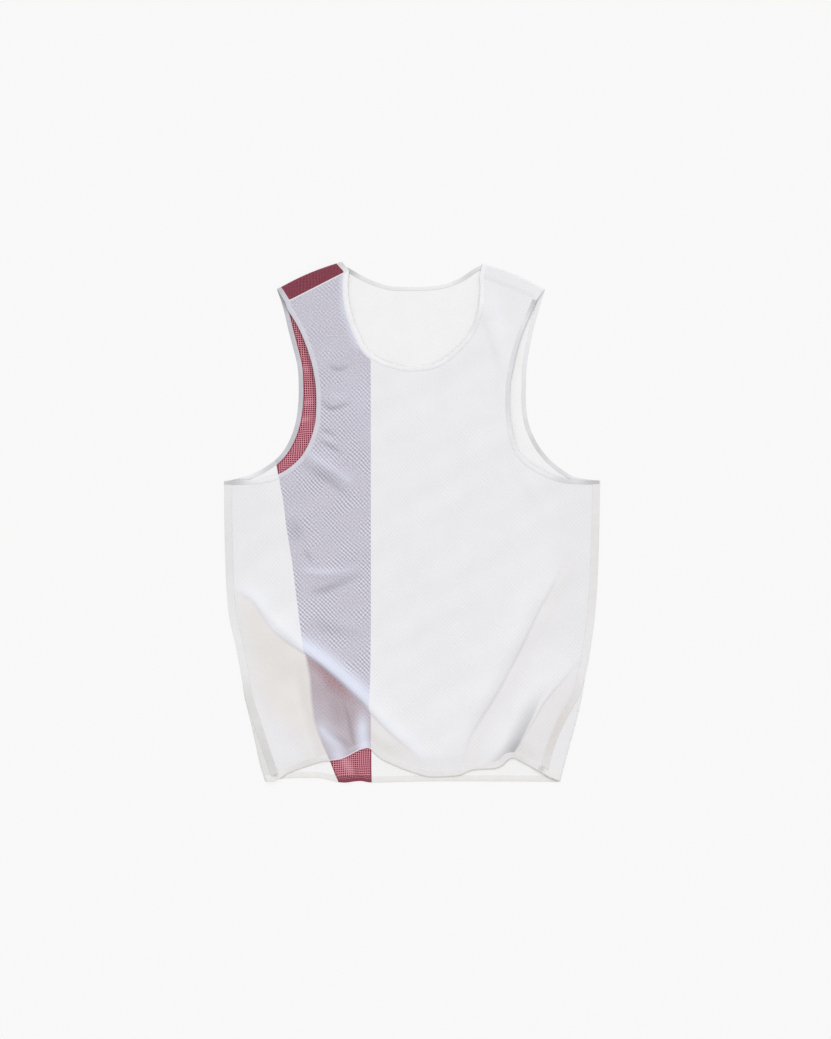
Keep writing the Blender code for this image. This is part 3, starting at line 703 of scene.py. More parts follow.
CREASES = creases(
    ("band waist ridge", 0.011, (-0.155, -0.064, 0), (-0.12, -0.067, 0.0014), (-0.06, -0.063, 0)),
    ("band waist dip", 0.01, (-0.15, -0.088, 0), (-0.115, -0.086, -0.001), (-0.06, -0.072, 0)),
    ("armhole dent", 0.007, (-0.115, 0.21, 0), (-0.099, 0.204, -0.001), (-0.08, 0.209, 0)),
    ("chest dent", 0.007, (-0.123, 0.163, 0), (-0.107, 0.152, -0.001), (-0.079, 0.161, 0)),
    ("lower chest dent", 0.006, (-0.123, 0.128, 0), (-0.113, 0.121, -0.0008), (-0.1, 0.114, 0)),
    ("underarm dent", 0.007, (-0.126, 0.11, 0), (-0.108, 0.101, -0.001), (-0.089, 0.088, 0)),
    ("band upper dimple", 0.012,
     (-0.162, 0.004, 0), (-0.155, -0.012, -0.0008), (-0.147, -0.026, 0)),
    ("band lower dimple", 0.008,
     (-0.146, -0.035, 0), (-0.139, -0.045, -0.0008), (-0.131, -0.057, 0)),
    ("left underarm crease", 0.016, (0.134, 0.09, 0), (0.156, 0.05, 0.001), (0.178, 0.012, 0)),
    ("band flap trough", 0.008, (-0.094, -0.216, 0), (-0.084, -0.252, -0.002), (-0.074, -0.296, 0)),
    ("band flap hollow", 0.013, (-0.13, -0.186, 0), (-0.121, -0.199, -0.0014), (-0.106, -0.212, 0)),
    ("band flap dent", 0.008, (-0.126, -0.268, 0), (-0.108, -0.28, -0.0018), (-0.09, -0.296, 0)),
    ("white flap crease", 0.009,
     (-0.146, -0.236, 0), (-0.131, -0.276, -0.0016), (-0.119, -0.312, 0)),
    ("left chest soft ridge", 0.022, (0.15, 0.18, 0), (0.128, 0.11, 0.0009), (0.12, 0.03, 0)),
    ("middle soft ridge", 0.03, (-0.03, 0.12, 0), (0.01, -0.01, 0.0008), (0.06, -0.15, 0)),
)
# Strokes of painted shade on the front, in its creases and by its folds, by shares of 1. The
# paler strokes beside them, painted highlights, come next.
SHADES = (
    *creases(
        ("armhole stroke", 0.0045, (-0.113, 0.21, 0), (-0.099, 0.204, 0.6), (-0.081, 0.209, 0)),
        ("chest stroke", 0.005, (-0.123, 0.163, 0), (-0.107, 0.152, 0.7), (-0.079, 0.161, 0)),
        ("low chest stroke", 0.0045, (-0.123, 0.128, 0), (-0.113, 0.121, 0.5), (-0.1, 0.114, 0)),
        ("underarm stroke", 0.005, (-0.126, 0.11, 0), (-0.108, 0.101, 0.6), (-0.089, 0.088, 0)),
        ("underarm shade", 0.009, (-0.144, 0.078, 0.2), (-0.11, 0.056, 0.5), (-0.078, 0.032, 0)),
        ("dimple shade", 0.015, (-0.164, 0.01, 0), (-0.155, -0.012, 0.3), (-0.146, -0.032, 0)),
        ("dimple stroke", 0.005, (-0.146, -0.035, 0), (-0.139, -0.045, 0.4), (-0.131, -0.057, 0)),
        ("waist shade", 0.0085,
         (-0.142, -0.092, 0), (-0.118, -0.09, 0.55), (-0.092, -0.079, 0.35), (-0.062, -0.068, 0)),
        ("low waist shade", 0.013, (-0.136, -0.126, 0), (-0.105, -0.142, 0.3), (-0.062, -0.15, 0)),
        ("flap stroke", 0.0055,
         (-0.099, -0.222, 0), (-0.086, -0.258, 0.5), (-0.079, -0.29, 0.45), (-0.074, -0.306, 0.1)),
        ("low flap stroke", 0.0075,
         (-0.124, -0.262, 0), (-0.108, -0.281, 0.42), (-0.09, -0.293, 0.4), (-0.08, -0.3, 0.1)),
        ("flap side shade", 0.012,
         (-0.15, -0.185, 0), (-0.145, -0.225, 0.14), (-0.135, -0.27, 0.15), (-0.122, -0.31, 0.18)),
        ("right flap corner shade", 0.007,
         (-0.212, -0.285, 0), (-0.204, -0.312, 0.05), (-0.198, -0.33, 0)),
        ("flap shade", 0.016,
         (-0.12, -0.205, 0), (-0.104, -0.235, 0.22), (-0.098, -0.262, 0.2), (-0.096, -0.28, 0)),
    ),
    fold(
        "roll shade", (-0.215, -0.098, 0), (-0.195, -0.123, 0.18), (-0.15, -0.164, 0.2),
        (-0.096, -0.208, 0.15), (-0.064, -0.238, 0.12), (-0.027, -0.28, 0.12), (0, -0.306, 0),
        gentle=0.0085, steep=0.008, steep_side=-1,
    ),
    fold(
        "left crease shade", (0.178, -0.09, 0), (0.156, -0.126, 0.1), (0.133, -0.174, 0.12),
        (0.103, -0.23, 0.12), (0.08, -0.27, 0.08), (0.065, -0.31, 0), gentle=0.014, steep=0.006,
    ),
    fold(
        "hem tuck shade", (0.195, -0.203, 0), (0.168, -0.231, 0.2), (0.15, -0.26, 0.6),
        (0.125, -0.306, 0.92), (0.106, -0.33, 0.75), gentle=0.021, steep=0.0022, shift=0.0066,
    ),
)
# Painted highlights on the front, by shares of 1, and a paler, bluer upper chest.
PAINTED_HIGHLIGHTS = creases(
    ("upper chest light", 0.06,
     (-0.05, 0.16, 0.1), (0.01, 0.155, 0.3), (0.07, 0.16, 0.3), (0.115, 0.21, 0.1)),
    ("waist light", 0.0075,
     (-0.152, -0.06, 0), (-0.125, -0.066, 0.4), (-0.092, -0.064, 0.2), (-0.065, -0.06, 0)),
    ("low chest light", 0.005, (-0.121, 0.116, 0), (-0.112, 0.112, 0.35), (-0.1, 0.104, 0)),
    ("chest light", 0.007, (-0.112, 0.174, 0), (-0.1, 0.168, 0.2), (-0.08, 0.176, 0)),
    ("white flap light", 0.012,
     (-0.222, -0.205, 0), (-0.206, -0.25, 0.3), (-0.186, -0.29, 0.3), (-0.174, -0.315, 0)),
    ("right strap light", 0.015,
     (0.104, 0.312, 0.3), (0.116, 0.272, 0.75), (0.124, 0.225, 0.55), (0.126, 0.175, 0.35),
     (0.13, 0.12, 0)),
)
# Paler strokes on the back: a painted highlight by the hem ripple, paler patches in the print by the
# right armhole.
BACK_LIGHTS = creases(
    ("high arm print light", 0.0075,
     (-0.162, 0.196, 0.15), (-0.148, 0.203, 0.3), (-0.136, 0.206, 0.1)),
    ("arm print light", 0.0055, (-0.156, 0.156, 0.15), (-0.142, 0.16, 0.28), (-0.13, 0.162, 0.1)),
    ("low arm print light", 0.0055,
     (-0.164, 0.132, 0.15), (-0.148, 0.136, 0.4), (-0.134, 0.14, 0.1)),
    ("hem print light", 0.01,
     (-0.098, -0.305, 0.1), (-0.09, -0.318, 0.34), (-0.083, -0.33, 0.28), (-0.078, -0.345, 0)),
)
# Darker strokes on the back: painted shade by the front's armhole edge and the hem ripple, and
# darker patches in the print by the right armhole.
BACK_SHADES = creases(
    ("arm edge shade", 0.0036,
     (-0.16, 0.275, 0.3), (-0.1466, 0.243, 0.8), (-0.1382, 0.215, 0.9), (-0.132, 0.188, 0.95),
     (-0.1294, 0.16, 0.95), (-0.1305, 0.138, 0.5), (-0.133, 0.12, 0)),
    ("high arm print shade", 0.019,
     (-0.172, 0.29, 0.25), (-0.158, 0.262, 0.24), (-0.152, 0.238, 0.12), (-0.15, 0.222, 0)),
    ("arm print shade", 0.0075, (-0.158, 0.18, 0.1), (-0.144, 0.184, 0.2), (-0.132, 0.187, 0.1)),
    ("low arm print shade", 0.0055,
     (-0.16, 0.144, 0.1), (-0.146, 0.147, 0.12), (-0.134, 0.15, 0.1)),
    ("hem print shade", 0.0055,
     (-0.074, -0.3, 0), (-0.076, -0.322, 0.3), (-0.074, -0.338, 0.45), (-0.073, -0.35, 0.2)),
)
BACK_CREASES = creases(
    ("band hem ripple", 0.01, (-0.098, -0.3, 0), (-0.089, -0.33, 0.0016), (-0.085, -0.35, 0.0018)),
    ("hem end ripple", 0.012, (-0.15, -0.325, 0), (-0.138, -0.34, 0.0012), (-0.132, -0.35, 0.0012)),
    ("left hem ripple", 0.014, (0.112, -0.322, 0), (0.106, -0.338, 0.0012), (0.104, -0.35, 0.0012)),
)


@dataclass(frozen=True)
class ClothSizes:
    """Sizes that every piece of the singlet shares."""

    wall: float = 0.001
    roll_radius: float = 0.0013
    rest_level: float = 0.0028
    sink_start: float = 0.012
    sink_end: float = 0.05
    seam_hold: float = 0.016
    hem_hold: float = 0.03
    hem_pressed: float = 0.9
    shoulder_bow: float = 0.0034
    billow: float = 0.00022
    billow_length: float = 0.055
    billow_spread: tuple[float, float] = (0.6, 1.6)
    billow_waves: int = 7
    billow_seed: int = 11

    @property
    def half_roll(self) -> float:
        """The length of cloth in one fold over an edge."""
        return math.pi * self.roll_radius

    @property
    def edge_inset(self) -> float:
        """How far in from a folded edge the cloth's middle starts to roll."""
        return self.roll_radius + self.wall / 2

    @property
    def back_level(self) -> float:
        """The height of the back's middle where it lies flat."""
        return self.wall / 2

    @property
    def lowest_front(self) -> float:
        """The least height of the front's middle, just clear of the back."""
        return 1.75 * self.wall

    @property
    def edge_level(self) -> float:
        """The height of the front's middle where it meets the folded edges."""
        return self.back_level + 2 * self.roll_radius

    def roll(self, past: Array) -> tuple[Array, Array]:
        """Reach and rise of cloth this far past the line where it rolls over."""
        angle = np.clip(past / self.roll_radius, 0, math.pi)
        reach = self.roll_radius * np.sin(angle) - np.maximum(past - self.half_roll, 0)
        return reach, self.roll_radius * (1 - np.cos(angle))


class Layout:
    """How a panel's flat cut lies on the surface."""

    facing = 1

    def __init__(self, cloth: ClothSizes) -> None:
        """Keeps the cloth's sizes."""
        self.cloth = cloth

    @staticmethod
    def side_value(y: Array, column: str) -> Array:
        """One column of the side table at these levels, smooth between its rows.

        Args:
            y: The levels.
            column: The column's name.

        Returns:
            A value for each level.
        """
        levels = np.array([row.y for row in SIDES])
        values = np.array([getattr(row, column) for row in SIDES])
        slopes = np.gradient(values, levels)
        y = np.clip(y, levels[0], levels[-1])
        row = np.clip(np.searchsorted(levels, y) - 1, 0, len(levels) - 2)
        step = levels[row + 1] - levels[row]
        t = (y - levels[row]) / step
        return cubic(t, step, values[row], values[row + 1], slopes[row], slopes[row + 1])

    def fold_x(self, side: Side, y: Array) -> Array:
        """How far out the cloth's middle starts to roll round the side."""
        return side.value * self.side_value(y, side.word + "_x") - self.cloth.edge_inset

    def turn(self, side: Side, y: Array) -> Array:
        """How far the back turns past its side fold to the side seam."""
        return self.side_value(y, side.word + "_turn")

    def back_edge_x(self, side: Side, y: Array) -> Array:
        """How far out the back's side edge is on its flat cut."""
        return self.fold_x(side, y) + self.turn(side, y)

    def front_edge_x(self, side: Side, y: Array) -> Array:
        """How far out the front's side edge is on its flat cut."""
        return self.fold_x(side, y) + self.cloth.half_roll - self.turn(side, y)

    def shoulder_line(self, side: Side) -> tuple[Array, Array, Array]:
        """The shoulder's fold line: its tip end, its neck end and its outward direction.

        Args:
            side: The side.

        Returns:
            The three, on the flat cut.
        """
        tip, neck = np.array(SHOULDERS[side].tip), np.array(SHOULDERS[side].neck)
        along = (neck - tip) / np.linalg.norm(neck - tip)
        outward = np.array((along[1], -along[0])) * side.value
        inset = outward * self.cloth.edge_inset
        return tip - inset, neck - inset, outward

    def bow(self, side: Side, flat: Array) -> Array:
        """How far the shoulder's fold bows out past its straight line, abreast of points.

        Args:
            side: The side.
            flat: Points of the flat cut.

        Returns:
            A distance for each point.
        """
        tip, neck, _ = self.shoulder_line(side)
        length, row = np.linalg.norm(neck - tip), SHOULDERS[side]
        along = (flat - tip) @ (neck - tip) / length - row.tip_shift
        share = np.clip(along / (length + row.neck_shift - row.tip_shift), 0, 1)
        return 4 * self.cloth.shoulder_bow * share * (1 - share)

    def shoulder_seam(self, side: Side, end: str) -> Array:
        """An end of the shoulder seam, "tip" or "neck", on the back's flat cut.

        Args:
            side: The side.
            end: "tip" or "neck".

        Returns:
            The point.
        """
        tip, neck, outward = self.shoulder_line(side)
        along = (neck - tip) / np.linalg.norm(neck - tip)
        row = SHOULDERS[side]
        if end == "tip":
            return tip + outward * row.tip_turn + along * row.tip_shift
        return neck + outward * row.neck_turn + along * row.neck_shift

    def roll_side(self, side: Side, flat: Array, placed: Array, way: int) -> None:
        """Rolls the placed points that are past a side's fold line round it.

        Args:
            side: The side.
            flat: Points of the flat cut.
            placed: Where they lie, which this changes.
            way: 1 where the cloth rolls up, and -1 where it rolls down.
        """
        past = side.value * flat[:, 0] - self.fold_x(side, flat[:, 1])
        rolled = past > 0
        reach, rise = self.cloth.roll(past[rolled])
        placed[rolled, 0] = side.value * (self.fold_x(side, flat[rolled, 1]) + reach)
        placed[rolled, 2] += rise * way

    def back_middle(self, flat: Array) -> Array:
        """The back's middle surface, from points of its flat cut.

        Args:
            flat: Points of the flat cut.

        Returns:
            Where they lie.
        """
        flat = np.asarray(flat, float)
        placed = np.column_stack([flat, np.full(len(flat), self.cloth.back_level)])
        for side in Side:
            self.roll_side(side, flat, placed, 1)
            tip, _, outward = self.shoulder_line(side)
            past = (flat - tip) @ outward - self.bow(side, flat)
            rolled = (past > 0) & (side.value * flat[:, 0] > 0)
            reach, rise = self.cloth.roll(past[rolled])
            placed[rolled, :2] += np.outer(reach - past[rolled], outward)
            placed[rolled, 2] += rise
        for crease in BACK_CREASES:
            crease.lift(flat, placed, np.ones(len(flat)))
        return placed

    def shoulder_in_plan(self, side: Side, end: str) -> Array:
        """An end of the shoulder seam as it lies, which is where the front's cut ends."""
        return self.back_middle([self.shoulder_seam(side, end)])[0, :2]

    def middle(self, flat: Array) -> Array:
        """The panel's middle surface, from points of its flat cut."""
        raise NotImplementedError

    def inward(self, flat: Array) -> Array:
        """Unit normals of the laid panel, on the garment's inside.

        Args:
            flat: Points of the flat cut.

        Returns:
            A normal for each.
        """
        flat = np.asarray(flat, float)
        aside, ahead = (NORMAL_STEP, 0), (0, NORMAL_STEP)
        across = self.middle(flat + aside) - self.middle(flat - aside)
        along = self.middle(flat + ahead) - self.middle(flat - ahead)
        normals = np.cross(across, along) * self.facing
        return normals / np.linalg.norm(normals, axis=1)[:, None]


class BackLayout(Layout):
    """The back, flat on the surface with its shoulders and sides turned forward."""

    def middle(self, flat: Array) -> Array:
        """The back's middle surface, from points of its flat cut."""
        return self.back_middle(flat)


class FrontLayout(Layout):
    """The front, which lies over the back in folds and creases."""

    facing = -1

    def edge_distance(self, flat: Array) -> Array:
        """How far in from the nearest side or shoulder edge each point is.

        Args:
            flat: Points of the flat cut.

        Returns:
            The distances.
        """
        away = np.full(len(flat), np.inf)
        for side in Side:
            away = np.minimum(away, self.front_edge_x(side, flat[:, 1]) - side.value * flat[:, 0])
            tip, neck = (self.shoulder_in_plan(side, end) for end in ("tip", "neck"))
            line = np.array([(*tip, 0.0), (*neck, 0.0)])
            away = np.minimum(away, np.abs(beside(line, flat).offset))
        return away

    def billow(self, flat: Array) -> Array:
        """The faint unevenness of cloth that lies loose.

        Args:
            flat: Points of the flat cut.

        Returns:
            How far each is raised.
        """
        draw = np.random.default_rng(self.cloth.billow_seed)
        total = np.zeros(len(flat))
        for _ in range(self.cloth.billow_waves):
            angle, start = draw.uniform(0, math.pi), draw.uniform(0, 2 * math.pi)
            length = self.cloth.billow_length * draw.uniform(*self.cloth.billow_spread)
            along = flat @ (math.cos(angle), math.sin(angle))
            total += np.sin(2 * math.pi * along / length + start)
        return self.cloth.billow * total

    def middle(self, flat: Array) -> Array:
        """The front's middle surface, from points of its flat cut.

        Args:
            flat: Points of the flat cut.

        Returns:
            Where they lie.
        """
        flat = np.asarray(flat, float)
        away = self.edge_distance(flat)
        sunk = away - self.cloth.sink_start
        sunk = smoothstep(sunk / (self.cloth.sink_end - self.cloth.sink_start))
        drop = self.cloth.edge_level - self.cloth.rest_level
        level = self.cloth.edge_level - drop * sunk + self.billow(flat) * sunk
        placed = np.column_stack([flat, level])
        free = smoothstep(away / self.cloth.seam_hold)
        for crease in (*FOLDS, *CREASES):
            crease.lift(flat, placed, free)
        placed[:, 2] = np.maximum(placed[:, 2], self.cloth.lowest_front)
        ripple = np.zeros((len(flat), 3))
        for crease in BACK_CREASES:
            crease.lift(flat, ripple, np.ones(len(flat)))
        hem = np.interp(flat[:, 0], [row.x for row in HEMS], [row.front for row in HEMS])
        pressed = 1 - smoothstep((flat[:, 1] - hem) / self.cloth.hem_hold)
        pressed *= self.cloth.hem_pressed * smoothstep(away / self.cloth.hem_hold)
        placed[:, 2] -= (placed[:, 2] - self.cloth.lowest_front) * pressed
        placed[:, 2] += ripple[:, 2]
        for side in Side:
            self.roll_side(side, flat, placed, -1)
        return placed


@dataclass
class Cut:
    """A panel's flat cut: its edge points, anticlockwise, and the stretch after each one."""

    points: Array
    edges: list[Edge]
    layout: Layout

    def inset(self, distances: dict[Edge, float]) -> Array:
        """The edge points, with each stretch moved in by its own distance.

        Args:
            distances: How far in each stretch is moved.

        Returns:
            The moved points.
        """
        ways = np.roll(self.points, -1, axis=0) - self.points
        ways /= np.linalg.norm(ways, axis=1)[:, None]
        inwards = np.column_stack([-ways[:, 1], ways[:, 0]])
        moved = []
        for index, point in enumerate(self.points):
            before, after = inwards[index - 1], inwards[index]
            first, second = (distances.get(self.edges[i], 0) for i in (index - 1, index))
            crossing = before[0] * after[1] - before[1] * after[0]
            if abs(crossing) > MITRE_SINE or first != second:
                shift = (
                    (first * after[1] - second * before[1]) / crossing,
                    (second * before[0] - first * after[0]) / crossing,
                )
            else:
                shift = (before + after) * first / (1 + before @ after)
            moved.append(point + shift)
        return np.array(moved)

    def stretch(self, edge: Edge) -> list[int]:
        """The numbers of a stretch's points, with the corner at its end."""
        chosen = [index for index, found in enumerate(self.edges) if found is edge]
        return [*chosen, (chosen[-1] + 1) % len(self.edges)]

    def row(self, edge: Edge, distances: dict[Edge, float], spacing: float) -> Array:
        """Fine points along one stretch once every stretch is moved in.

        Args:
            edge: The stretch.
            distances: How far in each stretch is moved.
            spacing: The most that two points may be apart before the move.

        Returns:
            Points on the flat cut, as many for any distances.
        """
        chosen = self.stretch(edge)
        gaps = np.linalg.norm(np.diff(self.points[chosen], axis=0), axis=1)
        steps = np.ceil(gaps / spacing).astype(int)
        return finer(self.inset(distances)[chosen], steps)

    def outline(self, distances: dict[Edge, float], spacing: float) -> Array:
        """The whole fine outline once every stretch is moved in."""
        order = list(dict.fromkeys(self.edges))
        return np.vstack([self.row(edge, distances, spacing)[:-1] for edge in order])

    def area(self) -> float:
        """The cut's area."""
        x, y = self.points.T
        return float(abs(x @ np.roll(y, -1) - y @ np.roll(x, -1)) / 2)

    def size(self) -> tuple[float, float]:
        """The cut's width and length."""
        width, length = np.ptp(self.points, axis=0)
        return float(width), float(length)


@dataclass
class Pattern:
    """Draws the flat cuts of both panels from the garment's tables."""

    cloth: ClothSizes
    outline_spacing: float = 0.0105
    side_end: float = 0.015
    shoulder_points: int = 10
    roll_parts: int = 4
    least_spacing: float = 0.0007

    def roll_steps(self, reach: float) -> list[float]:
        """Distances past a fold at which the cloth is bent, up to its edge."""
        parts = self.roll_parts
        steps = [part * self.cloth.half_roll / parts for part in range(parts + 1)]
        return [step for step in steps if step < reach - self.least_spacing] + [reach]

    def side_edge(self, layout: Layout, side: Side, panel: str) -> Array:
        """The points of a panel's side edge, from the hem up.

        Args:
            layout: How the panel lies.
            side: The side.
            panel: "back" or "front".

        Returns:
            The points.
        """
        low, high = CORNERS[side]
        count = round((high - low) / self.outline_spacing) - 1
        inner = np.linspace(low + self.side_end, high - self.side_end, count)
        levels = np.array([low, *inner, high])
        edge_x = getattr(layout, f"{panel}_edge_x")
        return np.column_stack([side.value * edge_x(side, levels), levels])

    def towards_side(
        self, layout: Layout, side: Side, y: float, fold_y: float, reach: float
    ) -> list[Array]:
        """Edge points that run out round a side fold, from the fold to the seam.

        Args:
            layout: How the panel lies.
            side: The side.
            y: The level of the seam.
            fold_y: The level at the fold.
            reach: How far it is from the fold to the seam.

        Returns:
            The points.
        """
        points = []
        for step in self.roll_steps(reach):
            level = fold_y + (y - fold_y) * step / reach
            x = side.value * (layout.fold_x(side, np.array(level)) + step)
            points.append(np.array((float(x), level)))
        return points

    def over_shoulder(self, layout: Layout, side: Side, end: str) -> list[Array]:
        """Edge points that run over a shoulder's fold, from the fold to the seam.

        Args:
            layout: How the panel lies.
            side: The side.
            end: "tip" or "neck".

        Returns:
            The points.
        """
        tip, neck, _ = layout.shoulder_line(side)
        start = tip if end == "tip" else neck
        seam = layout.shoulder_seam(side, end)
        reach = float(np.linalg.norm(seam - start))
        return [start + (seam - start) * step / reach for step in self.roll_steps(reach)]

    def neck_run(self, rows: Sequence[NeckRow], left: list[Array], right: list[Array]) -> list:
        """A panel's whole neck edge, from its left shoulder to its right one."""
        keys = [(row.left, row.y) for row in rows] + [(row.right, row.y) for row in rows[::-1]]
        path = smooth_path([left[0], *keys, right[0]], self.outline_spacing)
        return [*left[::-1], *path[1:-1], *right]

    def arm_run(self, side: Side, panel: str, tip: list[Array], underarm: list[Array]) -> list:
        """A panel's whole armhole edge, from the shoulder to the underarm.

        Args:
            side: The side.
            panel: "back" or "front".
            tip: The points at the shoulder, from the fold out.
            underarm: The points at the underarm, from the fold out.

        Returns:
            The points.
        """
        keys = [(getattr(row, f"{side.word}_{panel}"), row.y) for row in ARMHOLES]
        path = smooth_path([tip[0], *keys, underarm[0]], self.outline_spacing)
        return [*tip[::-1], *path[1:-1], *underarm]

    def hem_run(self, panel: str, right: list[Array], left: list[Array]) -> list:
        """A panel's whole hem edge, from its right seam to its left one."""
        keys = [(row.x, getattr(row, panel)) for row in HEMS]
        path = smooth_path([right[0], *keys, left[0]], self.outline_spacing)
        return [*right[::-1], *path[1:-1], *left]

    def joined(self, layout: Layout, panel: str, ends: dict[str, dict[Side, list]]) -> Cut:
        """A panel's cut, from what its edges run between.

        Args:
            layout: How the panel lies.
            panel: "back" or "front".
            ends: For each side: the run from the hem to the side seam, the armhole, the
                shoulder seam and the run from the neck to the shoulder seam.

        Returns:
            The cut, anticlockwise from the right end of the hem.
        """
        left, right = Side.LEFT, Side.RIGHT
        rows = BACK_NECK if panel == "back" else FRONT_NECK
        runs = {
            Edge.HEM: self.hem_run(panel, ends["hem"][right], ends["hem"][left]),
            Edge.SIDE_LEFT: self.side_edge(layout, left, panel),
            Edge.ARMHOLE_LEFT: ends["armhole"][left][::-1],
            Edge.SHOULDER_LEFT: ends["shoulder"][left],
            Edge.NECK: self.neck_run(rows, ends["neck"][left], ends["neck"][right]),
            Edge.SHOULDER_RIGHT: ends["shoulder"][right],
            Edge.ARMHOLE_RIGHT: ends["armhole"][right],
            Edge.SIDE_RIGHT: self.side_edge(layout, right, panel)[::-1],
        }
        points, edges = [], []
        for edge, run in runs.items():
            points += [np.asarray(point, float) for point in run][:-1]
            edges += [edge] * (len(run) - 1)
        return Cut(np.array(points), edges, layout)

    def back(self) -> Cut:
        """The back panel's flat cut."""
        layout = BackLayout(self.cloth)
        ends = {"hem": {}, "armhole": {}, "shoulder": {}, "neck": {}}
        for side in Side:
            low, high = CORNERS[side]
            reach = float(layout.turn(side, np.array(low)))
            ends["hem"][side] = self.towards_side(layout, side, low, BACK_HEM_FOLD_Y, reach)
            reach = float(layout.turn(side, np.array(high)))
            underarm = self.towards_side(layout, side, high, high, reach)
            tip = self.over_shoulder(layout, side, "tip")
            ends["armhole"][side] = self.arm_run(side, "back", tip, underarm)
            ends["neck"][side] = self.over_shoulder(layout, side, "neck")
            seam = [layout.shoulder_seam(side, end) for end in ("tip", "neck")]
            line = np.linspace(*seam, self.shoulder_points)
            line = line + 2 * np.outer(layout.bow(side, line), layout.shoulder_line(side)[2])
            ends["shoulder"][side] = line[:: side.value]
        return self.joined(layout, "back", ends)

    def front(self) -> Cut:
        """The front panel's flat cut."""
        layout = FrontLayout(self.cloth)
        ends = {"hem": {}, "armhole": {}, "shoulder": {}, "neck": {}}
        for side in Side:
            low, high = CORNERS[side]
            x = float(layout.front_edge_x(side, np.array(low)))
            ends["hem"][side] = [np.array((side.value * x, low))]
            seam = [layout.shoulder_in_plan(side, end) for end in ("tip", "neck")]
            ends["neck"][side] = seam[1:]
            ends["shoulder"][side] = np.linspace(*seam[:: side.value], self.shoulder_points)
            reach = self.cloth.half_roll - float(layout.turn(side, np.array(high)))
            underarm = self.towards_side(layout, side, high, high, reach)
            ends["armhole"][side] = self.arm_run(side, "front", seam[:1], underarm)
        return self.joined(layout, "front", ends)


def inside_by(points: Array, outline: Array) -> Array:
    """How far each point lies inside an outline, below zero outside it.

    Args:
        points: The points.
        outline: The outline, as points all round it.

    Returns:
        The distances.
    """
    start, way = outline, np.roll(outline, -1, axis=0) - outline
    end = start + way
    slope = np.where(way[:, 1] == 0, 1, way[:, 1])
    found = []
    for first in range(0, len(points), CHUNK):
        part = points[first : first + CHUNK, None, :]
        offset = part - start
        share = np.clip((offset * way).sum(axis=2) / (way**2).sum(axis=1), 0, 1)
        gap = np.sqrt(((offset - share[..., None] * way) ** 2).sum(axis=2).min(axis=1))
        level = part[..., 1]
        rises = (start[:, 1] > level) != (end[:, 1] > level)
        crossing = start[:, 0] + way[:, 0] * (level - start[:, 1]) / slope
        within = (rises & (part[..., 0] < crossing)).sum(axis=1) % 2 == 1
        found.append(np.where(within, gap, -gap))
    return np.concatenate(found)


def band_depth(flat: Array, inner: Sequence[tuple[float, float]]) -> Array:
    """How far inside the printed band each point of a cut lies, below zero outside it.

    Args:
        flat: Points of the flat cut.
        inner: The band's inner edge on this cut.

    Returns:
        The distances.
    """
    outer_y, outer_x = np.array(BAND_OUTER).T
    inner_y, inner_x = np.array(inner).T
    left = flat[:, 0] - np.interp(flat[:, 1], outer_y, outer_x)
    right = np.interp(flat[:, 1], inner_y, inner_x) - flat[:, 0]
    return np.minimum(left, right)


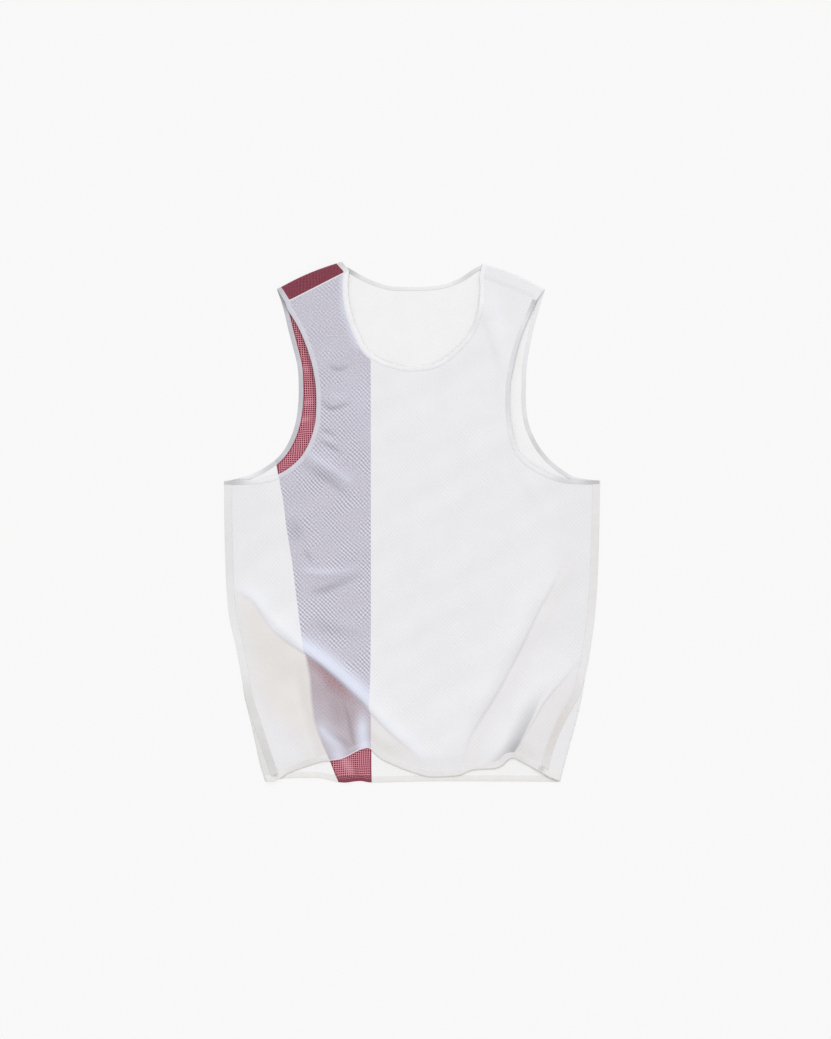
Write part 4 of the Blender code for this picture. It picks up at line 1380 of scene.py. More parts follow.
class Wiring:
    """Adds nodes to one node tree and joins them up."""

    MIX_COLOURS = (6, 7)
    MIX_RESULT = 2

    def __init__(self, tree: bpy.types.NodeTree) -> None:
        """Keeps the tree."""
        self.tree = tree

    def feed(self, node: bpy.types.Node, values: Values) -> bpy.types.Node:
        """Joins a node's inputs to sockets, or sets them to numbers or colours.

        Args:
            node: The node.
            values: What each input gets, by its name or number.

        Returns:
            The node.
        """
        for key, value in values.items():
            socket = node.inputs[key]
            if isinstance(value, bpy.types.NodeSocket):
                self.tree.links.new(value, socket)
            elif isinstance(value, tuple) and len(value) == 3 and socket.type == "RGBA":
                socket.default_value = (*value, 1.0)
            else:
                socket.default_value = value
        return node

    def node(self, kind: str, values: Values | None = None, **settings: object) -> bpy.types.Node:
        """A new node of this kind, with these settings and these inputs.

        Args:
            kind: The node's type.
            values: What its inputs get, by name or number.
            settings: Its own settings, by name.

        Returns:
            The node.
        """
        made = self.tree.nodes.new(kind)
        for name, value in settings.items():
            setattr(made, name, value)
        return self.feed(made, values or {})

    def sum(self, operation: str, *values: SocketOrNumber, clamp: bool = False) -> Socket:
        """The result of a Math node."""
        given = dict(enumerate(values))
        return self.node("ShaderNodeMath", given, operation=operation, use_clamp=clamp).outputs[0]

    def ramp(self, value: Socket, low: float, high: float, reach: float = 1.0) -> Socket:
        """A smooth rise from 0 to reach as the value goes from low to high."""
        given = dict(enumerate((value, low, high, 0.0, reach)))
        made = self.node("ShaderNodeMapRange", given, interpolation_type="SMOOTHSTEP")
        return made.outputs[0]

    def mix(self, share: SocketOrNumber, first: object, second: object) -> Socket:
        """A colour between two others."""
        given = {0: share, **dict(zip(self.MIX_COLOURS, (first, second)))}
        return self.node("ShaderNodeMix", given, data_type="RGBA").outputs[self.MIX_RESULT]

    def noise(
        self, vector: Socket, scale: SocketOrNumber, detail: float, output: str = "Fac"
    ) -> Socket:
        """One output of a Noise Texture."""
        given = {"Vector": vector, "Scale": scale, "Detail": detail}
        return self.node("ShaderNodeTexNoise", given).outputs[output]

    def scaled(self, colour: object, factor: Socket) -> Socket:
        """A colour times a number."""
        given = {0: colour, "Scale": factor}
        return self.node("ShaderNodeVectorMath", given, operation="SCALE").outputs[0]

    def bump(self, height: Socket, distance: float, strength: float) -> Socket:
        """The way that a surface faces once a height has raised it."""
        given = {"Strength": strength, "Distance": distance, "Height": height}
        return self.node("ShaderNodeBump", given).outputs[0]

    def parts(self, vector: Socket) -> tuple[Socket, Socket]:
        """The X and the Y of a vector."""
        made = self.node("ShaderNodeSeparateXYZ", {0: vector}).outputs
        return made[0], made[1]

    def cut(self) -> Socket:
        """The place on the flat cut, in metres, or along and across a strip."""
        return self.node("ShaderNodeUVMap", uv_map="cut").outputs[0]

    def attribute(self, name: str) -> Socket:
        """The number that a mesh attribute holds."""
        return self.node("ShaderNodeAttribute", attribute_name=name).outputs["Fac"]

    def group(self, tree: bpy.types.NodeTree, **values: object) -> bpy.types.bpy_prop_collection:
        """The outputs of a node that holds a group, with its inputs set by name."""
        return self.node("ShaderNodeGroup", values, node_tree=tree).outputs


def new_group(name: str, inputs: dict[str, str], outputs: dict[str, str]) -> bpy.types.NodeTree:
    """A shader node group with these named sockets.

    Args:
        name: The group's name.
        inputs: The kind of each input socket by name.
        outputs: The kind of each output socket by name.

    Returns:
        The group, with its two end nodes named "in" and "out".
    """
    tree = bpy.data.node_groups.new(name, "ShaderNodeTree")
    for way, sockets in (("INPUT", inputs), ("OUTPUT", outputs)):
        for socket, kind in sockets.items():
            tree.interface.new_socket(socket, in_out=way, socket_type=f"NodeSocket{kind}")
    for end, kind in (("in", "NodeGroupInput"), ("out", "NodeGroupOutput")):
        tree.nodes.new(kind).name = end
    return tree


@dataclass(frozen=True)
class WaffleWeave:
    """The mesh cloth's weave: a square net of threads round raised and sunken squares.

    Scales are in turns of noise a metre. A range holds the two values between which
    something comes in.
    """

    name: str = "waffle weave"
    drift_scale: float = 26.0
    drift_reach: float = 0.006
    twill_shares: tuple[float, float] = (0.3, 0.14)
    uneven_scale: float = 160.0
    uneven_reach: float = 0.9
    uneven_least: float = 0.45
    grain_scale: float = 560.0
    grain_contrast: float = 2.4
    grain_share: float = 0.5
    patch_scale: float = 30.0
    patch_range: tuple[float, float] = (0.38, 0.6)
    patch_reach: float = 1.05
    patch_most: float = 1.45
    faint_range: tuple[float, float] = (0.1, 0.27)
    faint_reach: float = 0.62
    faint_most: float = 1.1
    thread_range: tuple[float, float] = (0.87, 0.985)
    net_height: float = 0.6

    def tree(self) -> bpy.types.NodeTree:
        """The weave's node group, which is made once."""
        if self.name in bpy.data.node_groups:
            return bpy.data.node_groups[self.name]
        outputs = dict.fromkeys(("Chequer", "Net", "Grain", "Height"), "Float")
        tree = new_group(self.name, {"Cut": "Vector", "Pitch": "Float"}, outputs)
        wires = Wiring(tree)
        cut, pitch = tree.nodes["in"].outputs["Cut"], tree.nodes["in"].outputs["Pitch"]
        drift = wires.noise(cut, self.drift_scale, 1.0, "Color")
        drifting = {0: drift, 1: (self.drift_reach,) * 3, 2: cut}
        drawn = wires.node("ShaderNodeVectorMath", drifting, operation="MULTIPLY_ADD")
        x, y = wires.parts(drawn.outputs[0])
        turn = wires.sum("DIVIDE", math.pi, pitch)
        angles = [wires.sum("MULTIPLY", part, turn) for part in (x, y)]
        twills = [wires.sum("COSINE", wires.sum(way, *angles)) for way in ("ADD", "SUBTRACT")]
        uneven = wires.noise(cut, self.uneven_scale, 1.0)
        uneven = wires.sum("MULTIPLY_ADD", uneven, self.uneven_reach, self.uneven_least)
        grain = wires.sum("SUBTRACT", wires.noise(cut, self.grain_scale, 1.0), 0.5)
        grain = wires.sum("MULTIPLY_ADD", grain, self.grain_contrast, 0.5, clamp=True)
        chequer = wires.sum("MULTIPLY", twills[0], self.twill_shares[0])
        chequer = wires.sum("MULTIPLY_ADD", twills[1], self.twill_shares[1], chequer)
        chequer = wires.sum("MULTIPLY", chequer, uneven)
        patchy = wires.noise(cut, self.patch_scale, 2.0)
        patchy = wires.ramp(patchy, *self.patch_range, self.patch_reach)
        patchy = wires.sum("SUBTRACT", self.patch_most, patchy)
        faint = wires.ramp(y, *self.faint_range, self.faint_reach)
        patchy = wires.sum("MULTIPLY", patchy, wires.sum("SUBTRACT", self.faint_most, faint))
        chequer = wires.sum("MULTIPLY", chequer, patchy)
        grainy = wires.sum("SUBTRACT", grain, 0.5)
        chequer = wires.sum("MULTIPLY_ADD", grainy, self.grain_share, chequer)
        chequer = wires.sum("ADD", chequer, 0.5)
        waves = [wires.sum("ABSOLUTE", wires.sum("COSINE", angle)) for angle in angles]
        net = wires.sum("MAXIMUM", *(wires.ramp(wave, *self.thread_range) for wave in waves))
        height = wires.sum("ADD", chequer, wires.sum("MULTIPLY", net, self.net_height))
        found = {"Chequer": chequer, "Net": net, "Grain": grain, "Height": height}
        wires.feed(tree.nodes["out"], found)
        return tree


def fading_group() -> bpy.types.NodeTree:
    """The slow unevenness in a cloth's or a tape's colour, as a group made once."""
    name = "uneven dye"
    if name in bpy.data.node_groups:
        return bpy.data.node_groups[name]
    tree = new_group(name, {"Cut": "Vector", "Scale": "Float", "Depth": "Float"}, {"Shade": "Float"})
    wires, given = Wiring(tree), tree.nodes["in"].outputs
    swing = wires.sum("SUBTRACT", wires.noise(given["Cut"], given["Scale"], 3.0), 0.5)
    wires.feed(tree.nodes["out"], {"Shade": wires.sum("MULTIPLY_ADD", swing, given["Depth"], 1.0)})
    return tree


def new_material(name: str) -> tuple[bpy.types.Material, Wiring, bpy.types.Node]:
    """A material, its wiring and its Principled shader.

    Args:
        name: The material's name.

    Returns:
        The three.
    """
    made = bpy.data.materials.new(name)
    made.use_nodes = True
    wires = Wiring(made.node_tree)
    return made, wires, made.node_tree.nodes["Principled BSDF"]


@dataclass(frozen=True)
class Finish:
    """A material whose colour is slowly uneven, by its fading and fading_scale."""

    name: str

    def coloured(self, wires: Wiring, place: Socket, colour: object, shade: object) -> Socket:
        """A colour, shaded, with its slow unevenness over the cloth."""
        values = {"Cut": place, "Scale": self.fading_scale, "Depth": self.fading}
        fading = wires.group(fading_group(), **values)["Shade"]
        return wires.scaled(colour, wires.sum("MULTIPLY", shade, fading))


@dataclass(frozen=True)
class MeshFinish(Finish):
    """One face of the mesh cloth, plain and where the band is printed."""

    plain_low: Colour
    plain_high: Colour
    print_low: Colour
    print_high: Colour
    print_weave: Weave
    # Painted shade below folds and on the turned sides: on plain cloth, and low and high on the
    # print.
    sheltered_plain: Colour = (0.81, 0.784, 0.768)
    sheltered_low: Colour = (0.51, 0.47, 0.525)
    sheltered_high: Colour = (0.59, 0.55, 0.605)
    # The back's print showing through the front, darkened by painted shade near the fold's edge.
    blushed_low: Colour = (0.33, 0.205, 0.235)
    blushed_high: Colour = (0.525, 0.375, 0.41)
    # Painted highlight on plain cloth and on the print, and how much of each is mixed in.
    drawn_plain: Colour = (0.865, 0.88, 0.925)
    drawn_print: Colour = (0.76, 0.8, 0.935)
    drawn_shares: tuple[float, float] = (0.8, 0.92)
    print_edge: float = 0.0004
    edge_dark: float = 0.0
    edge_dark_range: tuple[float, float] = (0.0022, 0.0008)
    pitch: float = 0.00285
    relief: float = 0.00018
    bump: float = 0.6
    crease_shade: float = 0.42
    fading_scale: float = 38.0
    fading: float = 0.05
    roughness: float = 0.82
    sheen: float = 0.12
    shine: float = 0.25

    def material(self) -> bpy.types.Material:
        """Makes the material."""
        made, wires, shader = new_material(self.name)
        cut = wires.cut()
        weave = wires.group(WaffleWeave().tree(), Cut=cut, Pitch=self.pitch)
        names = ("printed", "sheltered", "blushed", "drawn", "shaded")
        printed, sheltered, blushed, drawn, shaded = map(wires.attribute, names)
        plain = wires.mix(weave["Chequer"], self.plain_low, self.plain_high)
        # Painted shade below folds, then the painted highlight, on the plain cloth.
        plain = wires.mix(sheltered, plain, self.sheltered_plain)
        highlit = [wires.sum("MULTIPLY", drawn, share) for share in self.drawn_shares]
        plain = wires.mix(highlit[0], plain, self.drawn_plain)
        dyed = wires.mix(weave[self.print_weave.value], self.print_low, self.print_high)
        # Painted shade below folds on the print.
        tinted = wires.mix(weave["Chequer"], self.sheltered_low, self.sheltered_high)
        dyed = wires.mix(sheltered, dyed, tinted)
        # The back's print showing through, with painted shade near the waist roll's edge.
        show_through_colour = wires.mix(weave["Grain"], self.blushed_low, self.blushed_high)
        dyed = wires.mix(blushed, dyed, show_through_colour)
        # The painted highlight on the print.
        dyed = wires.mix(highlit[1], dyed, self.drawn_print)
        if self.edge_dark:
            edge = wires.ramp(printed, *self.edge_dark_range)
            dyed = wires.mix(wires.sum("MULTIPLY", edge, self.edge_dark), dyed, self.print_low)
        colour = wires.mix(wires.ramp(printed, -self.print_edge, self.print_edge), plain, dyed)
        # Painted shade in creases, strokes and towards the sides darkens the colour.
        lit = wires.sum("MULTIPLY_ADD", shaded, -self.crease_shade, 1.0)
        surface = {
            "Base Color": self.coloured(wires, cut, colour, lit),
            "Normal": wires.bump(weave["Height"], self.relief, self.bump),
            "Roughness": self.roughness,
            "Sheen Weight": self.sheen,
            "Specular IOR Level": self.shine,
        }
        wires.feed(shader, surface)
        return made


@dataclass(frozen=True)
class TapeFinish(Finish):
    """A ribbed tape or a felled strip, plain and where it crosses the printed band."""

    plain: Colour
    printed: Colour
    # Colour towards which the painted shade at the strip's spots darkens it.
    dusky: Colour = (0.4, 0.405, 0.42)
    # Colour of the painted highlight that the folds carry over the printed part.
    drawn: Colour | None = None
    rim: Colour | None = None
    printed_rim: Colour | None = None
    rim_width: float = 0.0022
    print_edge: float = 0.0005
    rib: float = 0.0008
    rib_shade: float = 0.06
    relief: float = 0.0001
    bump: float = 0.5
    fading_scale: float = 90.0
    fading: float = 0.1
    roughness: float = 0.7
    sheen: float = 0.1
    shine: float = 0.3

    def material(self) -> bpy.types.Material:
        """Makes the material."""
        made, wires, shader = new_material(self.name)
        cut = wires.cut()
        along, across = wires.parts(cut)
        turned = wires.sum("MULTIPLY", wires.sum("ADD", along, across), 2 * math.pi / self.rib)
        ribs = wires.sum("MULTIPLY_ADD", wires.sum("COSINE", turned), 0.5, 0.5)
        printed = wires.ramp(wires.attribute("printed"), -self.print_edge, self.print_edge)
        dyed = self.printed
        # The folds' painted highlight over the printed part.
        if self.drawn:
            dyed = wires.mix(wires.attribute("drawn"), self.printed, self.drawn)
        colour = wires.mix(printed, self.plain, dyed)
        # Painted shade at the strip's spots.
        colour = wires.mix(wires.attribute("dusk"), colour, self.dusky)
        if self.rim:
            rim = wires.mix(printed, self.rim, self.printed_rim)
            near = wires.ramp(across, self.rim_width, self.rim_width / 2)
            colour = wires.mix(near, colour, rim)
        shade = wires.sum("MULTIPLY_ADD", ribs, self.rib_shade, 1 - self.rib_shade)
        surface = {
            "Base Color": self.coloured(wires, cut, colour, shade),
            "Normal": wires.bump(ribs, self.relief, self.bump),
            "Roughness": self.roughness,
            "Sheen Weight": self.sheen,
            "Specular IOR Level": self.shine,
        }
        wires.feed(shader, surface)
        return made


@dataclass(frozen=True)
class ThreadFinish(Finish):
    """The sewing thread."""

    colour: Colour
    fading_scale: float = 400.0
    fading: float = 0.15
    roughness: float = 0.55
    shine: float = 0.35

    def material(self) -> bpy.types.Material:
        """Makes the material."""
        made, wires, shader = new_material(self.name)
        place = wires.node("ShaderNodeTexCoord").outputs["Object"]
        surface = {
            "Base Color": self.coloured(wires, place, self.colour, 1.0),
            "Roughness": self.roughness,
            "Specular IOR Level": self.shine,
        }
        wires.feed(shader, surface)
        return made


def add_object(name: str, data: bpy.types.ID) -> bpy.types.Object:
    """A new object in the scene, at the origin."""
    made = bpy.data.objects.new(name, data)
    bpy.context.scene.collection.objects.link(made)
    return made


@dataclass
class Shell:
    """Arrays from which a mesh is made."""

    points: Array
    faces: list[tuple[int, ...]]
    cut: Array
    attributes: dict[str, Array] = field(default_factory=dict)
    finish_index: Array | None = None

    def build(
        self, name: str, materials: Sequence[bpy.types.Material], sharp: float
    ) -> bpy.types.Object:
        """Makes the object.

        Args:
            name: The piece's name.
            materials: Its materials, in the order of the finish numbers.
            sharp: Edges that bend more than this angle stay sharp.

        Returns:
            The object, linked to the scene.
        """
        mesh = bpy.data.meshes.new(name)
        mesh.from_pydata([tuple(point) for point in self.points], [], self.faces)
        for given in materials:
            mesh.materials.append(given)
        if self.finish_index is not None:
            mesh.polygons.foreach_set("material_index", self.finish_index.astype(np.int32))
        loops = np.empty(len(mesh.loops), np.int32)
        mesh.loops.foreach_get("vertex_index", loops)
        mesh.uv_layers.new(name="cut").data.foreach_set("uv", self.cut[loops].ravel())
        for key, values in self.attributes.items():
            mesh.attributes.new(key, "FLOAT", "POINT").data.foreach_set("value", values)
        mesh.shade_smooth()
        mesh.set_sharp_from_angle(angle=sharp)
        mesh.update()
        return add_object(name, mesh)


def finish_piece(piece: bpy.types.Object, slot: str, *nodes: str) -> bpy.types.Object:
    """Says what a piece rides on and which nodes it replaces.

    Args:
        piece: The piece.
        slot: Its material slot; not used.
        nodes: The nodes that it replaces.

    Returns:
        The piece.
    """
    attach(piece, "root")
    if nodes:
        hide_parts(*nodes)
    LOG.info("%s: %d faces", piece.name, len(piece.data.polygons))
    return piece


def away_from(line: Array, flat: Array) -> Array:
    """How far flat points are from a line of points."""
    return np.abs(beside(np.column_stack([line, np.zeros(len(line))]), flat).offset)


@dataclass(frozen=True)
class Marking:
    """What a panel's finishes need to know of each point, as named attributes."""

    # Strokes of painted shade, strokes of painted highlight, and folds that give a painted
    # highlight.
    strokes: tuple[Fold, ...]
    lights: tuple[Fold, ...]
    drawn_over: tuple[Fold, ...]

    def places(self, cut: Cut, flat: Array, printed: Array) -> dict[str, Array]:
        """The marks that only this kind of panel has, as marks() takes and gives them."""
        raise NotImplementedError

    def marks(self, cut: Cut, flat: Array, printed: Array) -> dict[str, Array]:
        """All the marks of a panel.

        Args:
            cut: The panel's cut.
            flat: Points of the cut.
            printed: How far inside the print each one lies.

        Returns:
            By name: the depth inside the print, and shares of 1 for painted shade below a fold,
            for the back's print that shows through with painted shade near the fold's edge, for a
            painted highlight and for painted shade in creases, strokes and towards the sides.
        """
        nothing = np.zeros(len(flat))
        found = {"printed": printed, "sheltered": nothing, "blushed": nothing, "shaded": nothing}
        found |= self.places(cut, flat, printed)
        # The folds' painted highlight, then strokes of painted shade and of painted highlight.
        found["drawn"] = gleam_at(flat, self.drawn_over)
        for name, strokes in (("shaded", self.strokes), ("drawn", self.lights)):
            for stroke in strokes:
                found[name] = np.maximum(found[name], stroke.cover(flat))
        return found


@dataclass(frozen=True)
class FrontMarking(Marking):
    """The front: painted shade by folds and sides; the back's print shows through with painted
    shade.
    """

    shelter_start: float = 0.005
    crest_share: float = 0.5
    edge_shelter: float = 0.5
    edge_start: float = 0.012
    edge_fade: float = 0.03
    blush_fade: float = 0.8
    faint_blush: float = 0.35
    faint_blush_far: float = 0.075
    faint_blush_fade: float = 0.05
    soft_print: float = 0.88
    side_shade: float = 0.055
    side_shade_far: float = 0.085
    side_shade_fade: float = 0.06
    side_shade_top: float = 0.2
    side_shade_rise: float = 0.15

    def places(self, cut: Cut, flat: Array, printed: Array) -> dict[str, Array]:
        """The marks that only the front has.

        Args:
            cut: The panel's cut.
            flat: Points of the flat cut.
            printed: How far inside the print each one lies.

        Returns:
            The marks by name.
        """
        away = cut.layout.edge_distance(flat)
        # Painted shade below each large fold, weaker beside the cut's side and shoulder edges.
        sheltered = np.zeros(len(flat))
        beside_edge = smoothstep((away - self.edge_start) / self.edge_fade)
        for large, far, fade, most in FOLD_SHADES:
            found = beside(large.path(), flat)
            across = found.offset * large.steep_side - large.steep * self.crest_share
            tallest = max(row.height for row in large.crest)
            share = smoothstep(across / self.shelter_start) * smoothstep((far - across) / fade)
            share *= smoothstep(found.height / (tallest * FULL_SHARE))
            share *= np.interp(flat[:, 0], FOLD_SHADE_CHANGE_X, most)
            share *= 1 - self.edge_shelter + self.edge_shelter * beside_edge
            sheltered = np.maximum(sheltered, share)
            if large is WAIST_ROLL:
                # Below the waist roll: the back's print showing through, with painted shade near the
                # edge.
                reach, most = np.array([np.interp(flat[:, 0], *row) for row in SHOW_THROUGH_ROWS])
                near = most * smoothstep((reach - across) / (self.blush_fade * reach))
                faint = smoothstep((self.faint_blush_far - across) / self.faint_blush_fade)
                blushed = share * np.maximum(near, self.faint_blush * faint)
                printed = printed * (1 - self.soft_print * share)
        # Painted shade towards the lower sides of the front.
        low = smoothstep((self.side_shade_top - flat[:, 1]) / self.side_shade_rise)
        near = smoothstep((self.side_shade_far - away) / self.side_shade_fade)
        shaded = self.side_shade * low * near
        return {"printed": printed, "sheltered": sheltered, "blushed": blushed, "shaded": shaded}


@dataclass(frozen=True)
class BackMarking(Marking):
    """The back: painted shade where it comes round the sides, and beside the shoulder seams."""

    side_shares: tuple[float, float] = (1.0, 0.15)
    turn_start: float = 0.003
    turn_top: float = -0.19
    turn_fade: float = 0.04
    seam_far: float = 0.008
    seam_fade: float = 0.004
    seam_share: float = 0.35
    row_spacing: float = 0.003

    def places(self, cut: Cut, flat: Array, printed: Array) -> dict[str, Array]:
        """The marks that only the back has.

        Args:
            cut: The panel's cut.
            flat: Points of the flat cut.
            printed: How far inside the print each one lies.

        Returns:
            The marks by name.
        """
        # Painted shade where the back comes round the sides and beside the shoulder seams.
        sheltered = np.zeros(len(flat))
        for side, most in zip(Side, self.side_shares):
            past = side.value * flat[:, 0] - cut.layout.fold_x(side, flat[:, 1])
            low = smoothstep((self.turn_top - flat[:, 1]) / self.turn_fade)
            share = smoothstep(past / self.turn_start) * low
            sheltered = np.maximum(sheltered, most * share)
        for edge in SHOULDER_EDGES:
            away = away_from(cut.row(edge, {}, self.row_spacing), flat)
            near = smoothstep((self.seam_far - away) / self.seam_fade) * (printed < 0)
            sheltered = np.maximum(sheltered, self.seam_share * near)
        return {"sheltered": sheltered}


@dataclass
class Panel:
    """A panel of mesh cloth: its cut, laid down as a thin shell."""

    name: str
    node: str
    cut: Cut
    outside: MeshFinish
    inside: MeshFinish
    band_inner: tuple[tuple[float, float], ...]
    marking: Marking
    spacing: float = 0.003
    row_spacing: float = 0.0016
    flank_rows: int = 2
    seam_rows: int = 4
    roll_rows: int = 7
    clearance: float = 0.45
    edge_spacing: float = 0.003
    tucked: float = 0.0045
    hem_tucked: float = 0.007
    bare_margin: float = 0.0013
    arm_margin: float = 0.0003
    binding_width: float = 0.0058
    sharp: float = math.radians(70)

    def edge(self) -> Array:
        """The cloth's edge, which ends inside its bindings and hem band."""
        tucked = dict.fromkeys(BOUND_EDGES, self.tucked)
        return self.cut.outline({Edge.HEM: self.hem_tucked, **tucked}, self.edge_spacing)

    def fold_rows(self) -> Array:
        """Close rows of points along the sharpest bends of the cloth."""
        rows = []
        layout = self.cut.layout
        if layout.facing < 0:
            for large in LARGE_FOLDS:
                path = large.path()
                tangent = np.gradient(path[:, :2], axis=0)
                tangent /= np.linalg.norm(tangent, axis=1)[:, None]
                way = large.steep_side * np.column_stack([-tangent[:, 1], tangent[:, 0]])
                last = large.steep / self.row_spacing + self.flank_rows
                for step in np.arange(-self.flank_rows, last):
                    rows.append(path[:, :2] + way * step * self.row_spacing)
        for edge in (*BOUND_EDGES, *SHOULDER_EDGES):
            bound = self.binding_width if edge in BOUND_EDGES else 0.0
            for step in range(self.seam_rows):
                reach = bound + step * self.bare_margin
                if reach:
                    distances = dict.fromkeys((*BOUND_EDGES, edge), reach)
                    rows.append(self.cut.row(edge, distances, self.spacing)[1:-1])
        levels = np.arange(SIDES[0].y, SIDES[-1].y, self.spacing)
        past = np.linspace(0, layout.cloth.half_roll, self.roll_rows)
        for side in Side:
            for step in past:
                x = side.value * (layout.fold_x(side, levels) + step)
                rows.append(np.column_stack([x, levels]))
            if layout.facing > 0:
                tip, neck, outward = layout.shoulder_line(side)
                count = round(float(np.linalg.norm(neck - tip)) / self.spacing) + 1
                line = np.linspace(tip, neck, count)
                line = line + np.outer(layout.bow(side, line), outward)
                rows += [line + outward * step for step in past]
        return np.vstack(rows)

    def interior(self, edge: Array) -> Array:
        """Points inside the edge: rows along the bends, then an even triangular grid.

        Args:
            edge: The cloth's edge.

        Returns:
            The points.
        """
        low, high = edge.min(axis=0), edge.max(axis=0)
        levels = np.arange(low[1], high[1], self.spacing * math.sqrt(3) / 2)
        grid = []
        for index, y in enumerate(levels):
            line = np.arange(low[0] + self.spacing / 2 * (index % 2), high[0], self.spacing)
            grid.append(np.column_stack([line, np.full(len(line), y)]))
        grid, rows = np.vstack(grid), self.fold_rows()
        rows = rows[inside_by(rows, edge) > self.clearance * self.row_spacing]
        grid = grid[inside_by(grid, edge) > self.clearance * self.spacing]
        chosen = self.thinned(rows, [], self.row_spacing * self.clearance)
        return np.array(self.thinned(grid, chosen, self.spacing * self.clearance))

    @staticmethod
    def thinned(points: Array, kept: list[Array], apart: float) -> list[Array]:
        """Points added to those kept, leaving out any that crowd one already there.

        Args:
            points: The points to add.
            kept: Those already there.
            apart: How near two may not be.

        Returns:
            Those kept and those added.
        """
        cells = {}
        for point in kept:
            cells.setdefault(tuple(np.floor(point / apart).astype(int)), []).append(point)
        kept = list(kept)
        for point in points:
            column, row = np.floor(point / apart).astype(int)
            around = [
                other
                for across in (-1, 0, 1)
                for along in (-1, 0, 1)
                for other in cells.get((column + across, row + along), ())
            ]
            if all(math.dist(point, other) > apart for other in around):
                cells.setdefault((column, row), []).append(point)
                kept.append(point)
        return kept

    def printed(self, flat: Array) -> Array:
        """How far inside the printed part each point lies, less its bare margin at seams.

        Args:
            flat: Points of the flat cut.

        Returns:
            The distances, below zero outside it.
        """
        depth = band_depth(flat, self.band_inner)
        bound = dict.fromkeys(BOUND_EDGES, self.binding_width)
        for edge, margin in self.margins().items():
            row = self.cut.row(edge, bound, self.edge_spacing)
            depth = np.minimum(depth, away_from(row, flat) - margin)
        return depth

    def margins(self) -> dict[Edge, float]:
        """How wide the unprinted margin is beside each edge that has one."""
        margins = dict.fromkeys(BOUND_EDGES, self.arm_margin)
        shoulders = dict.fromkeys(SHOULDER_EDGES, self.bare_margin / 2)
        return {**margins, Edge.NECK: self.bare_margin, **shoulders}

    def build(self) -> bpy.types.Object:
        edge = self.edge()
        flat = [tuple(point) for point in (*edge, *self.interior(edge))]
        rim = [(index, (index + 1) % len(edge)) for index in range(len(edge))]
        found, _, triangles, *_ = delaunay_2d_cdt(flat, rim, [], 1, MERGE_DISTANCE)
        flat = np.array([tuple(point) for point in found])
        layout = self.cut.layout
        middle, inward = layout.middle(flat), layout.inward(flat)
        half = layout.cloth.wall / 2
        points = np.vstack([middle - inward * half, middle + inward * half])
        count = len(flat)
        upper = [tuple(face) if self.rises(flat, face) else tuple(face[::-1]) for face in triangles]
        if layout.facing > 0:
            upper = [face[::-1] for face in upper]
        lower = [tuple(index + count for index in face[::-1]) for face in upper]
        border = self.border(upper)
        walls = [(second, first, first + count, second + count) for first, second in border]
        marks = self.marking.marks(self.cut, flat, self.printed(flat))
        finishes = np.concatenate([np.zeros(len(upper)), np.ones(len(lower)), np.zeros(len(walls))])
        shell = Shell(
            points,
            [*upper, *lower, *walls],
            np.vstack([flat, flat]),
            {key: np.tile(values, 2) for key, values in marks.items()},
            finishes,
        )
        materials = [self.outside.material(), self.inside.material()]
        return finish_piece(shell.build(self.name, materials, self.sharp), "mesh_cloth", self.node)

    @staticmethod
    def rises(flat: Array, face: Sequence[int]) -> bool:
        """Whether a triangle of the cut runs anticlockwise."""
        first, second, third = (flat[index] for index in face)
        return bool(np.cross(second - first, third - first) > 0)

    @staticmethod
    def border(faces: Sequence[tuple[int, ...]]) -> list[tuple[int, int]]:
        """The edges that only one face has, in that face's direction."""
        seen = {(face[i - 1], face[i]) for face in faces for i in range(3)}
        return sorted(pair for pair in seen if pair[::-1] not in seen)


